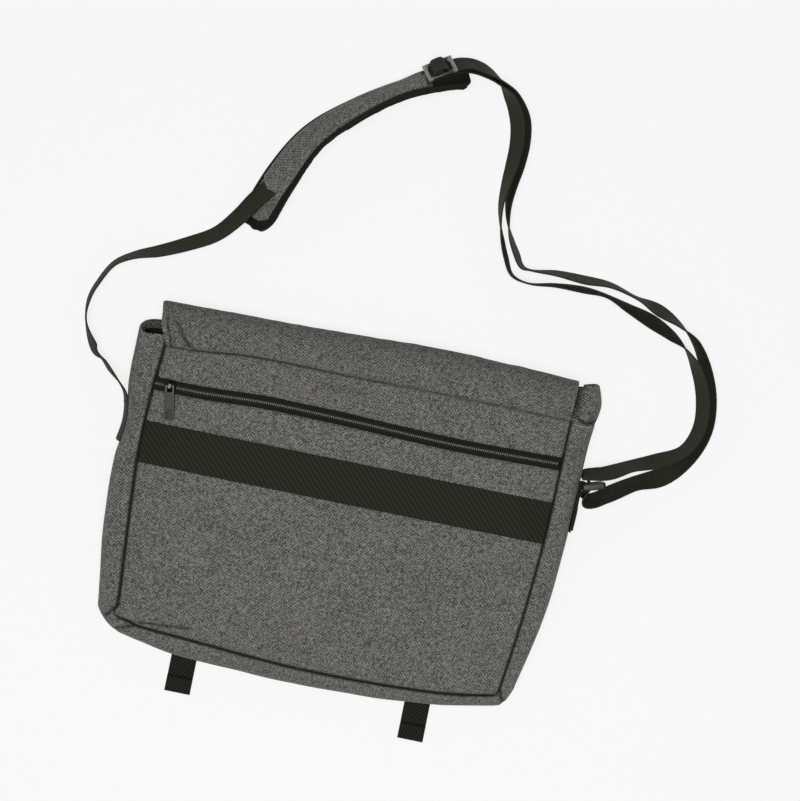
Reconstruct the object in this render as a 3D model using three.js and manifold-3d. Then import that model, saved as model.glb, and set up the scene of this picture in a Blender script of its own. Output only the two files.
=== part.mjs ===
// Laptop messenger bag, lying on its front with its shoulder strap laid out behind it.
// Millimetres. +X runs to the right of the back panel, +Y to the fold of the flap, and +Z out
// of the back panel. The origin is on the front of the flap, where the bag rests.
import * as THREE from "three";
import { mergeVertices } from "three/addons/utils/BufferGeometryUtils.js";
import Module from "manifold-3d";

// Cloth, webbing and clearances
const CLOTH = 2;
const CLEARANCE = 0.4;
const WEBBING = 1.6;
const STRAP_WIDTH = 20;
const CLOSURE_WIDTH = 25;

// Body of the bag
const CROWN = 6;
const PANEL_TOP = 136;
const FRONT_TOP = 137;
const SEAM_GAP = 0.6;
const FRONT_SEAM_GAP = 2.2;
const FLOOR_GAP = 0.5;
const FRONT_SEAM_SHARE = 0.25;
const CORNER_Y = { leftSeam: -141, leftOut: -150, rightSeam: -146, rightOut: -156 };
const CORNER_X = { leftSeam: -187, leftOut: -201.5, rightSeam: 183, rightOut: 191 };
const MITRE = { near: 0.02, gap: 0.003 };
const ARCH = { steps: 9, fullness: 0.85 };
const PANEL_STEPS = { across: 14, lower: 9, upper: 4, front: 6, band: 12 };
const GUSSET_STEPS = { left: 12, right: 18, bottom: 14 };
const BAG_MIDDLE = new THREE.Vector3(0, 0, 28);

// Seams between back panel and gussets, outermost line of the gussets, and height of the seam
const SIDES = [
  { y: -156, leftSeam: -186, leftOut: -196, rightSeam: 181, rightOut: 191, edge: 41 },
  { y: -140, leftSeam: -187, leftOut: -207.5, rightSeam: 184.5, rightOut: 198.5, edge: 43.5 },
  { y: -70, leftSeam: -191.5, leftOut: -217, rightSeam: 192, rightOut: 213, edge: 50.5 },
  { y: 5, leftSeam: -196.2, leftOut: -220.5, rightSeam: 197.4, rightOut: 219.4, edge: 53 },
  { y: 40, leftSeam: -196.4, leftOut: -217, rightSeam: 198.5, rightOut: 221, edge: 52.7 },
  { y: 78, leftSeam: -195.2, leftOut: -221.7, rightSeam: 199.4, rightOut: 221.9, edge: 51.2 },
  { y: 122, leftSeam: -192.5, leftOut: -223, rightSeam: 200.5, rightOut: 224, edge: 47 },
  { y: 142, leftSeam: -194, leftOut: -222, rightSeam: 203.5, rightOut: 227, edge: 43 },
  { y: 163, leftSeam: -196, leftOut: -218, rightSeam: 204.5, rightOut: 223, edge: 39 },
];
const BOTTOM = [
  { x: -201.5, seam: -139, out: -150 },
  { x: -186, seam: -142.5, out: -159.8 },
  { x: -125, seam: -151.5, out: -171 },
  { x: 0, seam: -159, out: -176 },
  { x: 125, seam: -155, out: -168.5 },
  { x: 191, seam: -145, out: -156 },
];

// Mouth of the bag: the left gusset ends low and slanting, the right one stands up as an ear
const LEFT_MOUTH = { back: 128, front: 139 };
const RIGHT_MOUTH = { back: 158, front: 162 };
const MOUTH_FADE = 6;
const EAR_CREASE = { y: 126, depth: 3.5, width: 5 };

// Front panel: close above the flap, and lifted by the clasps near the bottom
const FRONT = [
  { y: -160, z: 6.6 },
  { y: -106, z: 6.6 },
  { y: -84, z: 4.6 },
  { y: 140, z: 4.6 },
];
const FRONT_LINES = [-142, -125, -106, -95, -84, -50, -20, 20, 50, 85, 112, FRONT_TOP];

// Flap: sewn to the back panel, folded over the mouth, and flat under the front
const FLAP_SEAM_Y = 122;
const FLAP_END_Y = -95;
const FOLD_REACH = 34;
const FOLD_STEPS = 8;
const FLAP_FLAT_Y = 60;
const FLAP_LINES = { left: -165, midLeft: -45, midRight: 55, right: 165 };
const FOLD = [
  { x: -204, y: 161 },
  { x: -50, y: 163.5 },
  { x: 70, y: 168 },
  { x: 203, y: 164 },
];
const FLAP_EDGE = { seamLeft: -191.5, seamRight: 199, left: -203.5, right: 202 };

// Two closure straps under the flap, each held by a plain clasp on the front panel
const CLOSURES = [
  { side: "left", x: -119 },
  { side: "right", x: 112 },
];
const CLOSURE = { top: -20, end: -210, channelRamp: 3 };
const CLASP = { y: -118, length: 12, wall: 1.8, slot: 2.4, side: 3, ramp: 10, level: 2, corner: 1.2 };

// Zip across the back panel
const ZIP = [
  { x: -196, y: 81.4 },
  { x: -150, y: 81 },
  { x: -86, y: 84 },
  { x: 0, y: 83 },
  { x: 97, y: 80.6 },
  { x: 199, y: 82.5 },
];
const ZIP_WINDOW = 12.4;
const ZIP_TAPE = { reach: 11, thickness: 1 };
const ZIP_COIL = { width: 5, height: 2.2, rise: 0.2 };
const SLIDER = { x: -179, length: 11, width: 9, height: 2.6, corner: 2.5 };
const SLIDER_ARCH = { width: 2.6, span: 7.6, rise: 4, bar: 1.4, chamfer: 1.5, sunk: 0.5 };
const PULL = { length: 32, width: 9.6, loopWidth: 8.4, thickness: 1.6, chamfer: 1.5, taper: 2.5 };
const PULL_EYE = { width: 5.4, length: 5 };
const PULL_PLACE = { turn: 10.5, dip: 0.6, barHeight: 1.3 };
const PULL_SLOT = { width: 5, height: 1.2, fromTip: 9 };

// Luggage band across the back panel
const BAND = { low: 5, high: 45 };

// Shoulder pad and its sleeve, lying on one edge
const PAD = { width: 40, thickness: 8, bevel: 2.5, endRound: 16, endWidth: 20 };
const SLEEVE = { from: 0.15, to: 0.72, steps: 8, halfWidth: 16, flatHalf: 11, room: 0.8, wall: 1.2 };
const PAD_ROUTE = [
  { x: -133, y: 249, tilt: 24 },
  { x: -119, y: 301, tilt: 30 },
  { x: -94, y: 342, tilt: 42 },
  { x: -59, y: 375.5, tilt: 53 },
  { x: -20, y: 403, tilt: 60 },
  { x: 19, y: 422.5, tilt: 58 },
  { x: 39, y: 431, tilt: 54 },
];

// Steps of each ribbon of webbing or padding between two rows of its route
const RIBBON_STEPS = { strap: 3, strands: 2, pad: 4, sleeve: 2, tab: 3 };

// Strap from the left gusset to the pad: places on the floor, lift of the lower edge, and tilt
const LEFT_SEWN = { low: 20, high: 62, z: 29 };
const LEFT_ROUTE = [
  { x: -232, y: 76, lift: 14, tilt: 86 },
  { x: -248.5, y: 89, lift: 5, tilt: 80 },
  { x: -263.6, y: 103, lift: 0, tilt: 72 },
  { x: -276.4, y: 127, lift: 0, tilt: 86 },
  { x: -277, y: 148.7, lift: 0, tilt: 75 },
  { x: -271, y: 167.7, lift: 0, tilt: 82 },
  { x: -260, y: 186.7, lift: 0, tilt: 80 },
  { x: -242.4, y: 197.7, lift: 0, tilt: 70 },
  { x: -219.7, y: 206.8, lift: 0, tilt: 54 },
  { x: -193, y: 220, lift: 0, tilt: 45 },
  { x: -169, y: 234, lift: 3, tilt: 42 },
  { x: -150.5, y: 254.5, lift: 9, tilt: 35 },
  { x: -138.5, y: 272.5, lift: 12, tilt: 31 },
];

// Doubled strap from the strap slider to the ring: middle line, gap between the two strands,
// and the tilt of each. A tilt over 90 degrees leans to the left of the way it runs.
const STRANDS = [
  { x: 37, y: 442, lift: 14.5, gap: 4, inner: 57, outer: 57 },
  { x: 48, y: 440.4, lift: 11, gap: 4.4, inner: 56, outer: 56 },
  { x: 67.5, y: 434, lift: 5, gap: 4.2, inner: 59, outer: 60 },
  { x: 85, y: 420.5, lift: 1, gap: 4.2, inner: 59, outer: 62 },
  { x: 97.2, y: 400.8, lift: 0, gap: 4.6, inner: 60, outer: 64 },
  { x: 101.4, y: 379.5, lift: 0, gap: 5.2, inner: 60, outer: 66 },
  { x: 101, y: 356.7, lift: 0, gap: 5.6, inner: 60, outer: 66 },
  { x: 99.2, y: 336.7, lift: 0, gap: 6.2, inner: 67, outer: 70 },
  { x: 98.8, y: 317, lift: 0, gap: 7, inner: 80, outer: 80 },
  { x: 101.6, y: 300.8, lift: 0, gap: 7.5, inner: 90, outer: 90 },
  { x: 107.5, y: 284.2, lift: 0, gap: 8.5, inner: 94, outer: 96 },
  { x: 114.2, y: 270.7, lift: 0, gap: 10.5, inner: 96, outer: 98 },
  { x: 122.9, y: 256.7, lift: 0, gap: 12.5, inner: 92, outer: 92 },
  { x: 136.4, y: 253.5, lift: 0, gap: 13, inner: 88, outer: 88 },
  { x: 161.6, y: 256.2, lift: 0, gap: 11.5, inner: 80, outer: 74 },
  { x: 189.2, y: 256.4, lift: 0, gap: 9.5, inner: 76, outer: 72 },
  { x: 213, y: 255.8, lift: 0, gap: 11, inner: 84, outer: 86 },
  { x: 238.3, y: 248.6, lift: 0, gap: 12.5, inner: 62, outer: 80 },
  { x: 263.8, y: 240.5, lift: 0, gap: 13, inner: 46, outer: 60 },
  { x: 285.6, y: 230.6, lift: 0, gap: 13, inner: 58, outer: 58 },
  { x: 302.2, y: 219.2, lift: 0, gap: 11.5, inner: 84, outer: 72 },
  { x: 317, y: 198.6, lift: 0, gap: 9, inner: 112, outer: 100 },
  { x: 328, y: 171, lift: 0, gap: 8, inner: 122, outer: 112 },
  { x: 330, y: 141.2, lift: 0, gap: 8, inner: 122, outer: 115 },
  { x: 318, y: 116.2, lift: 0, gap: 11, inner: 122, outer: 120 },
  { x: 294, y: 96.2, lift: 2, gap: 16, inner: 122, outer: 122 },
  { x: 269, y: 83.4, lift: 9, gap: 19, inner: 112, outer: 112 },
];

// Strap slider: a flat frame with a centre bar, lying on the end of the pad
const GLIDE = { x: 10.4, y: 433.4, z: 29, heading: 33, tilt: 57 };
const GLIDE_FRAME = { length: 30, width: 27, thickness: 3.4, bar: 4, slotWidth: 21.6, corner: 3 };

// Strap through the slider, along it and above it: under the first bar, over the centre, under
// the last. The sewn end of the strap lies under the last bar and is wrapped round the centre.
const GLIDE_WEAVE = [
  { along: -17, above: -3 },
  { along: -11.5, above: -3 },
  { along: -8, above: -0.5 },
  { along: -5, above: 4.6 },
  { along: 0, above: 5.4 },
  { along: 5, above: 4.6 },
  { along: 8, above: -0.5 },
  { along: 11.5, above: -3 },
  { along: 17, above: -3 },
];
const GLIDE_LEAVE = [0.8, 3.2];
const GLIDE_LOOP = [
  { along: 1.5, above: 3 },
  { along: -1.8, above: 3 },
  { along: -3.9, above: 1.2 },
  { along: -3.9, above: -1.2 },
  { along: -1.8, above: -3.1 },
  { along: 4, above: -5.1 },
  { along: 12, above: -5.4 },
  { along: 17, above: -5.8 },
];

// Ring at the right gusset, and the webbing tab that holds it
const RING = { x: 238, y: 68.5, z: 29, turn: 21, width: 23, height: 31, depth: 7, bar: 4, corner: 4 };
const TAB = { low: 20, high: 50, foldedLow: 22, width: 20 };

// The two strands of the strap meet in the ring, each leaning over in front of it, and the tab
// turns round the ring's inner bar. Places are from the middle of the ring and of the bar.
const OUTER_TURN = [
  { x: 11, y: -10.4, lean: 28 },
  { x: 0.5, y: -12, lean: 28 },
  { x: -5, y: -11.8, lean: 20 },
  { x: -7, y: -8.6, lean: 6 },
  { x: -3.6, y: -3.4, lean: 0 },
  { x: -3, y: -0.5, lean: 0 },
];
const INNER_TURN = [
  { x: 14, y: 12, lean: 32 },
  { x: 3.5, y: 12.6, lean: 30 },
  { x: -2.2, y: 11, lean: 16 },
  { x: -3.2, y: 6, lean: 0 },
  { x: -3, y: 0.5, lean: 0 },
];
const TAB_TURN = [
  { x: -3.8, y: -3 },
  { x: -3.8, y: 3 },
  { x: -2.2, y: 7 },
  { x: 1.6, y: 7 },
  { x: 3.8, y: 3 },
  { x: 3.8, y: -3 },
];

const TURN = Math.PI / 180;
const UP = new THREE.Vector3(0, 0, 1);
const wasm = await Module();
wasm.setup();

const bag = new THREE.Group();
bag.name = "laptop_bag";

function add(name, geometry, finish) {
  const mesh = new THREE.Mesh(geometry, new THREE.MeshStandardMaterial(finish));
  mesh.name = name;
  bag.add(mesh);
  return mesh;
}

const HEATHER = { color: "#64645f", roughness: 0.92, metalness: 0 };
const BLACK_WEBBING = { color: "#24241f", roughness: 0.85, metalness: 0 };
const BLACK_PAD = { color: "#1d1d1b", roughness: 0.9, metalness: 0 };
const ZIP_BLACK = { color: "#191917", roughness: 0.7, metalness: 0 };
const SLIDER_METAL = { color: "#55555a", roughness: 0.35, metalness: 1 };
const GREY_PLASTIC = { color: "#33332f", roughness: 0.45, metalness: 0 };

// A column of a table as a smooth curve through its rows
function smooth(table, key, column, at) {
  const last = table.length - 1;
  if (at <= table[0][key]) return table[0][column];
  if (at >= table[last][key]) return table[last][column];
  const i = table.findIndex((row) => row[key] > at) - 1;
  const slope = (a, b) => (table[b][column] - table[a][column]) / (table[b][key] - table[a][key]);
  const before = slope(Math.max(i - 1, 0), i + 1);
  const after = slope(i, Math.min(i + 2, last));
  const span = table[i + 1][key] - table[i][key];
  const f = (at - table[i][key]) / span;
  const rise = table[i + 1][column] - table[i][column];
  const bendIn = before * span - rise;
  const bendOut = rise - after * span;
  return table[i][column] + f * rise + f * (1 - f) * ((1 - f) * bendIn + f * bendOut);
}

const side = (column, y) => smooth(SIDES, "y", column, y);
const bottom = (column, x) => smooth(BOTTOM, "x", column, x);
const foldY = (x) => smooth(FOLD, "x", "y", x);
const zipY = (x) => smooth(ZIP, "x", "y", x);
const frontZ = (y) => smooth(FRONT, "y", "z", y);
const mix = THREE.MathUtils.lerp;
const bell = (distance, width) => Math.exp(-((distance / width) ** 2));

// Height of the back panel: lowest at its seams and crowned between them
function panelZ(x, y) {
  const left = side("leftSeam", y);
  const right = side("rightSeam", y);
  const across = THREE.MathUtils.clamp((2 * x - left - right) / (right - left), -1, 1);
  const low = bottom("seam", x);
  const along = THREE.MathUtils.clamp((2 * y - low - PANEL_TOP) / (PANEL_TOP - low), -1, 1);
  return side("edge", y) + CROWN * (1 - across ** 4) * (1 - along ** 4);
}

// Closed solid from vertices and triangles, with its faces pointing out
function solid(vertices, triangles) {
  const volume = triangles.reduce((sum, [a, b, c]) => {
    return sum + vertices[a].dot(new THREE.Vector3().crossVectors(vertices[b], vertices[c]));
  }, 0);
  const ordered = volume < 0 ? triangles.map(([a, b, c]) => [a, c, b]) : triangles;
  const geometry = new THREE.BufferGeometry();
  const places = vertices.flatMap((vertex) => vertex.toArray());
  geometry.setAttribute("position", new THREE.Float32BufferAttribute(places, 3));
  geometry.setIndex(ordered.flat());
  geometry.computeVertexNormals();
  return geometry;
}

// Cloth wall: a grid of points on the outer face, thickened towards the middle of the bag.
// At a mitre the way across the first or last row is given, so that both walls end on one plane.
function wall(grid, thickness, startWay, endWay) {
  const rows = grid.length;
  const wayAt = (i, j) => {
    if (i === 0 && startWay) return startWay[j].clone();
    if (i === rows - 1 && endWay) return endWay[j].clone();
    return grid[Math.min(i + 1, rows - 1)][j].clone().sub(grid[Math.max(i - 1, 0)][j]);
  };
  const columns = grid[0].length;
  const inner = grid.map((line, i) => line.map((point, j) => {
    const alongColumns = line[Math.min(j + 1, columns - 1)].clone().sub(line[Math.max(j - 1, 0)]);
    const normal = wayAt(i, j).cross(alongColumns).normalize();
    const outward = Math.sign(normal.dot(point.clone().sub(BAG_MIDDLE)));
    return point.clone().addScaledVector(normal, -outward * thickness);
  }));
  const vertices = [...grid.flat(), ...inner.flat()];
  const count = rows * columns;
  const index = (i, j, layer) => layer * count + i * columns + j;
  const triangles = [];
  const quad = (a, b, c, d) => triangles.push([a, b, c], [a, c, d]);
  for (let i = 0; i < rows - 1; i++) {
    for (let j = 0; j < columns - 1; j++) {
      quad(index(i, j, 0), index(i + 1, j, 0), index(i + 1, j + 1, 0), index(i, j + 1, 0));
      quad(index(i, j, 1), index(i, j + 1, 1), index(i + 1, j + 1, 1), index(i + 1, j, 1));
    }
  }
  const end = columns - 1;
  for (let i = 0; i < rows - 1; i++) {
    quad(index(i, 0, 0), index(i, 0, 1), index(i + 1, 0, 1), index(i + 1, 0, 0));
    quad(index(i, end, 0), index(i + 1, end, 0), index(i + 1, end, 1), index(i, end, 1));
  }
  const last = rows - 1;
  for (let j = 0; j < columns - 1; j++) {
    quad(index(0, j, 0), index(0, j + 1, 0), index(0, j + 1, 1), index(0, j, 1));
    quad(index(last, j, 0), index(last, j, 1), index(last, j + 1, 1), index(last, j + 1, 0));
  }
  return solid(vertices, triangles);
}

function evenly(count) {
  return Array.from({ length: count + 1 }, (_, i) => i / count);
}

// Grid over the back panel between two lines that run from seam to seam
function panelGrid(low, high, across, along, rise = 0) {
  return evenly(along).map((t) => evenly(across).map((s) => {
    let x = 0;
    let y = mix(low(x), high(x), t);
    for (let pass = 0; pass < 3; pass++) {
      x = mix(side("leftSeam", y) + SEAM_GAP, side("rightSeam", y) - SEAM_GAP, s);
      y = mix(low(x), high(x), t);
    }
    return new THREE.Vector3(x, y, panelZ(x, y) + rise);
  }));
}

function backPanels() {
  const seamLine = (x) => bottom("seam", x) + SEAM_GAP;
  const windowLow = (x) => zipY(x) - ZIP_WINDOW / 2;
  const windowHigh = (x) => zipY(x) + ZIP_WINDOW / 2;
  const lower = panelGrid(seamLine, windowLow, PANEL_STEPS.across, PANEL_STEPS.lower);
  const upper = panelGrid(windowHigh, () => PANEL_TOP, PANEL_STEPS.across, PANEL_STEPS.upper);
  add("back_panel_lower", wall(lower, CLOTH), HEATHER);
  add("back_panel_upper", wall(upper, CLOTH), HEATHER);
}

// One arch of a gusset, from the back seam over the outermost line to the front seam
function gussetArch(seam, out, mouthShift = () => 0, crease = 0) {
  const top = panelZ(seam.x, seam.y) - crease;
  return evenly(ARCH.steps).map((f) => {
    const angle = Math.PI * f;
    const reach = Math.sin(angle) ** ARCH.fullness;
    const inFront = f > 0.5;
    const start = inFront ? FRONT_SEAM_SHARE : 0;
    const share = mix(start, 1, reach);
    const x = mix(seam.x, out.x, share);
    const y = mix(seam.y, out.y, share) + mouthShift(f);
    const low = frontZ(y);
    const middle = (top + low) / 2;
    const z = middle + Math.cos(angle) * (top - low) / 2;
    return new THREE.Vector3(x, y, z);
  });
}

// Arches of the three gussets, at a share of the way along each
function leftArch(q) {
  const seamY = mix(LEFT_MOUTH.back, CORNER_Y.leftSeam, q);
  const outY = mix(LEFT_MOUTH.back, CORNER_Y.leftOut, q);
  const slant = LEFT_MOUTH.front - LEFT_MOUTH.back;
  const seam = new THREE.Vector2(side("leftSeam", seamY), seamY);
  const out = new THREE.Vector2(side("leftOut", outY), outY);
  return gussetArch(seam, out, (share) => slant * share * (1 - q) ** MOUTH_FADE);
}

function rightArch(q) {
  const seamY = mix(RIGHT_MOUTH.back, CORNER_Y.rightSeam, q);
  const outY = mix(RIGHT_MOUTH.back, CORNER_Y.rightOut, q);
  const slant = RIGHT_MOUTH.front - RIGHT_MOUTH.back;
  const crease = EAR_CREASE.depth * bell(seamY - EAR_CREASE.y, EAR_CREASE.width);
  const seam = new THREE.Vector2(side("rightSeam", seamY), seamY);
  const out = new THREE.Vector2(side("rightOut", outY) - crease / 2, outY);
  return gussetArch(seam, out, (share) => slant * share * (1 - q) ** MOUTH_FADE, crease);
}

function bottomArch(q) {
  const seamX = mix(CORNER_X.leftSeam, CORNER_X.rightSeam, q);
  const outX = mix(CORNER_X.leftOut, CORNER_X.rightOut, q);
  const seam = new THREE.Vector2(seamX, bottom("seam", seamX));
  const out = new THREE.Vector2(outX, bottom("out", outX));
  return gussetArch(seam, out);
}

function gussets() {
  const { near, gap } = MITRE;
  const way = (from, to) => from.map((point, j) => to[j].clone().sub(point));
  const leftCorner = way(leftArch(1 - near), bottomArch(near));
  const rightCorner = way(bottomArch(1 - near), rightArch(1 - near));
  const left = evenly(GUSSET_STEPS.left).map((f) => leftArch(f * (1 - gap)));
  const right = evenly(GUSSET_STEPS.right).map((f) => rightArch(f * (1 - gap)));
  const lower = evenly(GUSSET_STEPS.bottom).map((f) => bottomArch(mix(gap, 1 - gap, f)));
  const flipped = rightCorner.map((step) => step.clone().negate());
  add("side_gusset_left", wall(left, CLOTH, undefined, leftCorner), HEATHER);
  add("side_gusset_right", wall(right, CLOTH, undefined, flipped), HEATHER);
  add("bottom_gusset", wall(lower, CLOTH, leftCorner, rightCorner), HEATHER);
}

function frontPanel() {
  const inset = (seam, out) => mix(seam, out, FRONT_SEAM_SHARE);
  const grid = FRONT_LINES.map((y, i) => evenly(PANEL_STEPS.front).map((s) => {
    const left = inset(side("leftSeam", y), side("leftOut", y)) + FRONT_SEAM_GAP;
    const right = inset(side("rightSeam", y), side("rightOut", y)) - FRONT_SEAM_GAP;
    const x = mix(left, right, s);
    const seamY = inset(bottom("seam", x), bottom("out", x)) + FRONT_SEAM_GAP;
    const lineY = i === 0 ? seamY : Math.max(y, seamY);
    return new THREE.Vector3(x, lineY, frontZ(y));
  }));
  add("front_panel", wall(grid, CLOTH), HEATHER);
}

// Lift of the flap where a closure strap lies under it
function channel(x, y) {
  const reach = CLOSURE_WIDTH / 2 + CLEARANCE;
  const under = CLOSURES.some((closure) => Math.abs(x - closure.x) < reach + CLEARANCE);
  return under && y < CLOSURE.top + CLOSURE.channelRamp ? WEBBING + CLEARANCE : 0;
}

function flap() {
  const half = CLOSURE_WIDTH / 2 + CLEARANCE;
  const ramp = CLOSURE.channelRamp;
  const [leftLines, rightLines] = CLOSURES.map(({ x }) => {
    return [x - half - ramp, x - half, x + half, x + half + ramp];
  });
  const lines = [
    FLAP_EDGE.left, FLAP_LINES.left, ...leftLines, FLAP_LINES.midLeft,
    FLAP_LINES.midRight, ...rightLines, FLAP_LINES.right, FLAP_EDGE.right,
  ];
  const flatRows = [FLAP_FLAT_Y, CLOSURE.top + 2 * ramp, CLOSURE.top + ramp - CLEARANCE, FLAP_END_Y];
  const shares = lines.map((x) => (x - FLAP_EDGE.left) / (FLAP_EDGE.right - FLAP_EDGE.left));
  const grid = shares.map((s) => {
    const seamX = mix(FLAP_EDGE.seamLeft, FLAP_EDGE.seamRight, s);
    const foldX = mix(FLAP_EDGE.left, FLAP_EDGE.right, s);
    const lift = CLOTH + CLEARANCE;
    const profile = [new THREE.Vector3(seamX, FLAP_SEAM_Y, panelZ(seamX, FLAP_SEAM_Y) + lift)];
    const middleY = foldY(foldX) - FOLD_REACH;
    const height = panelZ(seamX, middleY) + lift;
    evenly(FOLD_STEPS).forEach((f) => {
      const x = mix(seamX, foldX, Math.min(1, 2 * f));
      const y = middleY + FOLD_REACH * Math.sin(Math.PI * f);
      profile.push(new THREE.Vector3(x, y, height * (1 + Math.cos(Math.PI * f)) / 2));
    });
    flatRows.forEach((y) => {
      profile.push(new THREE.Vector3(foldX, y, channel(foldX, y)));
    });
    return profile;
  });
  add("flap", wall(grid, CLOTH), HEATHER);
}

// Rows of a strap: a point on its middle line and the direction of its width
function strapRow(point, width) {
  return { point, width };
}

// Ribbon of webbing through strap rows, with its section given as points across and above
function ribbon(rows, steps, sectionAt) {
  const line = new THREE.CatmullRomCurve3(rows.map((row) => row.point));
  const widths = new THREE.CatmullRomCurve3(rows.map((row) => row.width));
  const count = steps * (rows.length - 1);
  const rings = evenly(count).map((f) => {
    const tangent = line.getTangent(f);
    const across = widths.getPoint(f);
    across.addScaledVector(tangent, -across.dot(tangent)).normalize();
    const above = across.clone().cross(tangent);
    const middle = line.getPoint(f);
    return sectionAt(f).map(([w, n]) => {
      return middle.clone().addScaledVector(across, w).addScaledVector(above, n);
    });
  });
  return tube(rings);
}

// Closed solid through a row of like rings of points
function tube(rings) {
  const sides = rings[0].length;
  const triangles = [];
  for (let i = 0; i < rings.length - 1; i++) {
    for (let j = 0; j < sides; j++) {
      const a = i * sides + j;
      const b = i * sides + (j + 1) % sides;
      triangles.push([a, b, b + sides], [a, b + sides, a + sides]);
    }
  }
  const last = (rings.length - 1) * sides;
  for (let j = 1; j < sides - 1; j++) {
    triangles.push([0, j + 1, j], [last, last + j, last + j + 1]);
  }
  return solid(rings.flat(), triangles);
}

function rectangle(width, thickness) {
  const w = width / 2;
  const n = thickness / 2;
  return [[-w, -n], [w, -n], [w, n], [-w, n]];
}

const strapSection = () => rectangle(STRAP_WIDTH, WEBBING);

// Width direction of a strap that runs along a heading on the floor, tilted up on its right
function tilted(heading, tilt) {
  const right = new THREE.Vector3(heading.y, -heading.x, 0).normalize();
  return right.multiplyScalar(Math.cos(tilt * TURN)).addScaledVector(UP, Math.sin(tilt * TURN));
}

function headingAt(table, i) {
  const before = table[Math.max(i - 1, 0)];
  const after = table[Math.min(i + 1, table.length - 1)];
  return new THREE.Vector3(after.x - before.x, after.y - before.y, 0).normalize();
}

// Height of the middle of a strap whose lower edge is on the floor
function edgeHeight(width, thickness, tilt) {
  return width / 2 * Math.sin(tilt * TURN) + thickness / 2 * Math.abs(Math.cos(tilt * TURN)) + FLOOR_GAP;
}

// Frame of the pad at a share of its length: middle, way along, width and face direction
const padRows = PAD_ROUTE.map((row, i) => {
  const z = edgeHeight(PAD.width, PAD.thickness, row.tilt);
  return strapRow(new THREE.Vector3(row.x, row.y, z), tilted(headingAt(PAD_ROUTE, i), row.tilt));
});

function onPad(share, rise) {
  const line = new THREE.CatmullRomCurve3(padRows.map((row) => row.point));
  const widths = new THREE.CatmullRomCurve3(padRows.map((row) => row.width));
  const tangent = line.getTangent(share);
  const across = widths.getPoint(share);
  across.addScaledVector(tangent, -across.dot(tangent)).normalize();
  const above = across.clone().cross(tangent);
  return strapRow(line.getPoint(share).addScaledVector(above, rise), across);
}

function shoulderPad() {
  const line = new THREE.CatmullRomCurve3(padRows.map((row) => row.point));
  const length = line.getLength();
  const section = (f) => {
    const fromEnd = Math.min(f, 1 - f) * length;
    const inRound = THREE.MathUtils.clamp(1 - fromEnd / PAD.endRound, 0, 1);
    const round = Math.sqrt(1 - inRound ** 2);
    const half = mix(PAD.endWidth, PAD.width, round) / 2;
    const n = PAD.thickness / 2;
    const flat = half - PAD.bevel;
    return [[-flat, -n], [flat, -n], [half, 0], [flat, n], [-flat, n], [-half, 0]];
  };
  add("shoulder_pad", ribbon(padRows, RIBBON_STEPS.pad, section), BLACK_PAD);
}

const sleeveShares = evenly(SLEEVE.steps).map((f) => mix(SLEEVE.from, SLEEVE.to, f));

function padSleeve() {
  const low = PAD.thickness / 2 + CLEARANCE;
  const high = PAD.thickness / 2 + 2 * SLEEVE.room + WEBBING;
  const { halfWidth, flatHalf, wall: cloth } = SLEEVE;
  const outline = [
    [-halfWidth, low], [-flatHalf, high], [flatHalf, high], [halfWidth, low],
    [halfWidth, low + cloth], [flatHalf, high + cloth],
    [-flatHalf, high + cloth], [-halfWidth, low + cloth],
  ];
  const rows = sleeveShares.map((share) => onPad(share, 0));
  add("pad_sleeve", ribbon(rows, RIBBON_STEPS.sleeve, () => outline), HEATHER);
}

// Place in the strap slider's own frame: along the strap and above the frame
const glideHeading = new THREE.Vector3(Math.cos(GLIDE.heading * TURN), Math.sin(GLIDE.heading * TURN), 0);
const glideWidth = tilted(glideHeading, GLIDE.tilt);
const glideFace = glideWidth.clone().cross(glideHeading);

function onGlide(along, above) {
  const point = new THREE.Vector3(GLIDE.x, GLIDE.y, GLIDE.z);
  point.addScaledVector(glideHeading, along).addScaledVector(glideFace, above);
  return strapRow(point, glideWidth);
}

function strandRows(strand) {
  const offset = strand === "inner" ? 0.5 : -0.5;
  return STRANDS.map((row, i) => {
    const heading = headingAt(STRANDS, i);
    const right = new THREE.Vector3(heading.y, -heading.x, 0);
    const z = row.lift + edgeHeight(STRAP_WIDTH, WEBBING, row[strand]);
    const point = new THREE.Vector3(row.x, row.y, z).addScaledVector(right, offset * row.gap);
    return strapRow(point, tilted(heading, row[strand]));
  });
}

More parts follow.
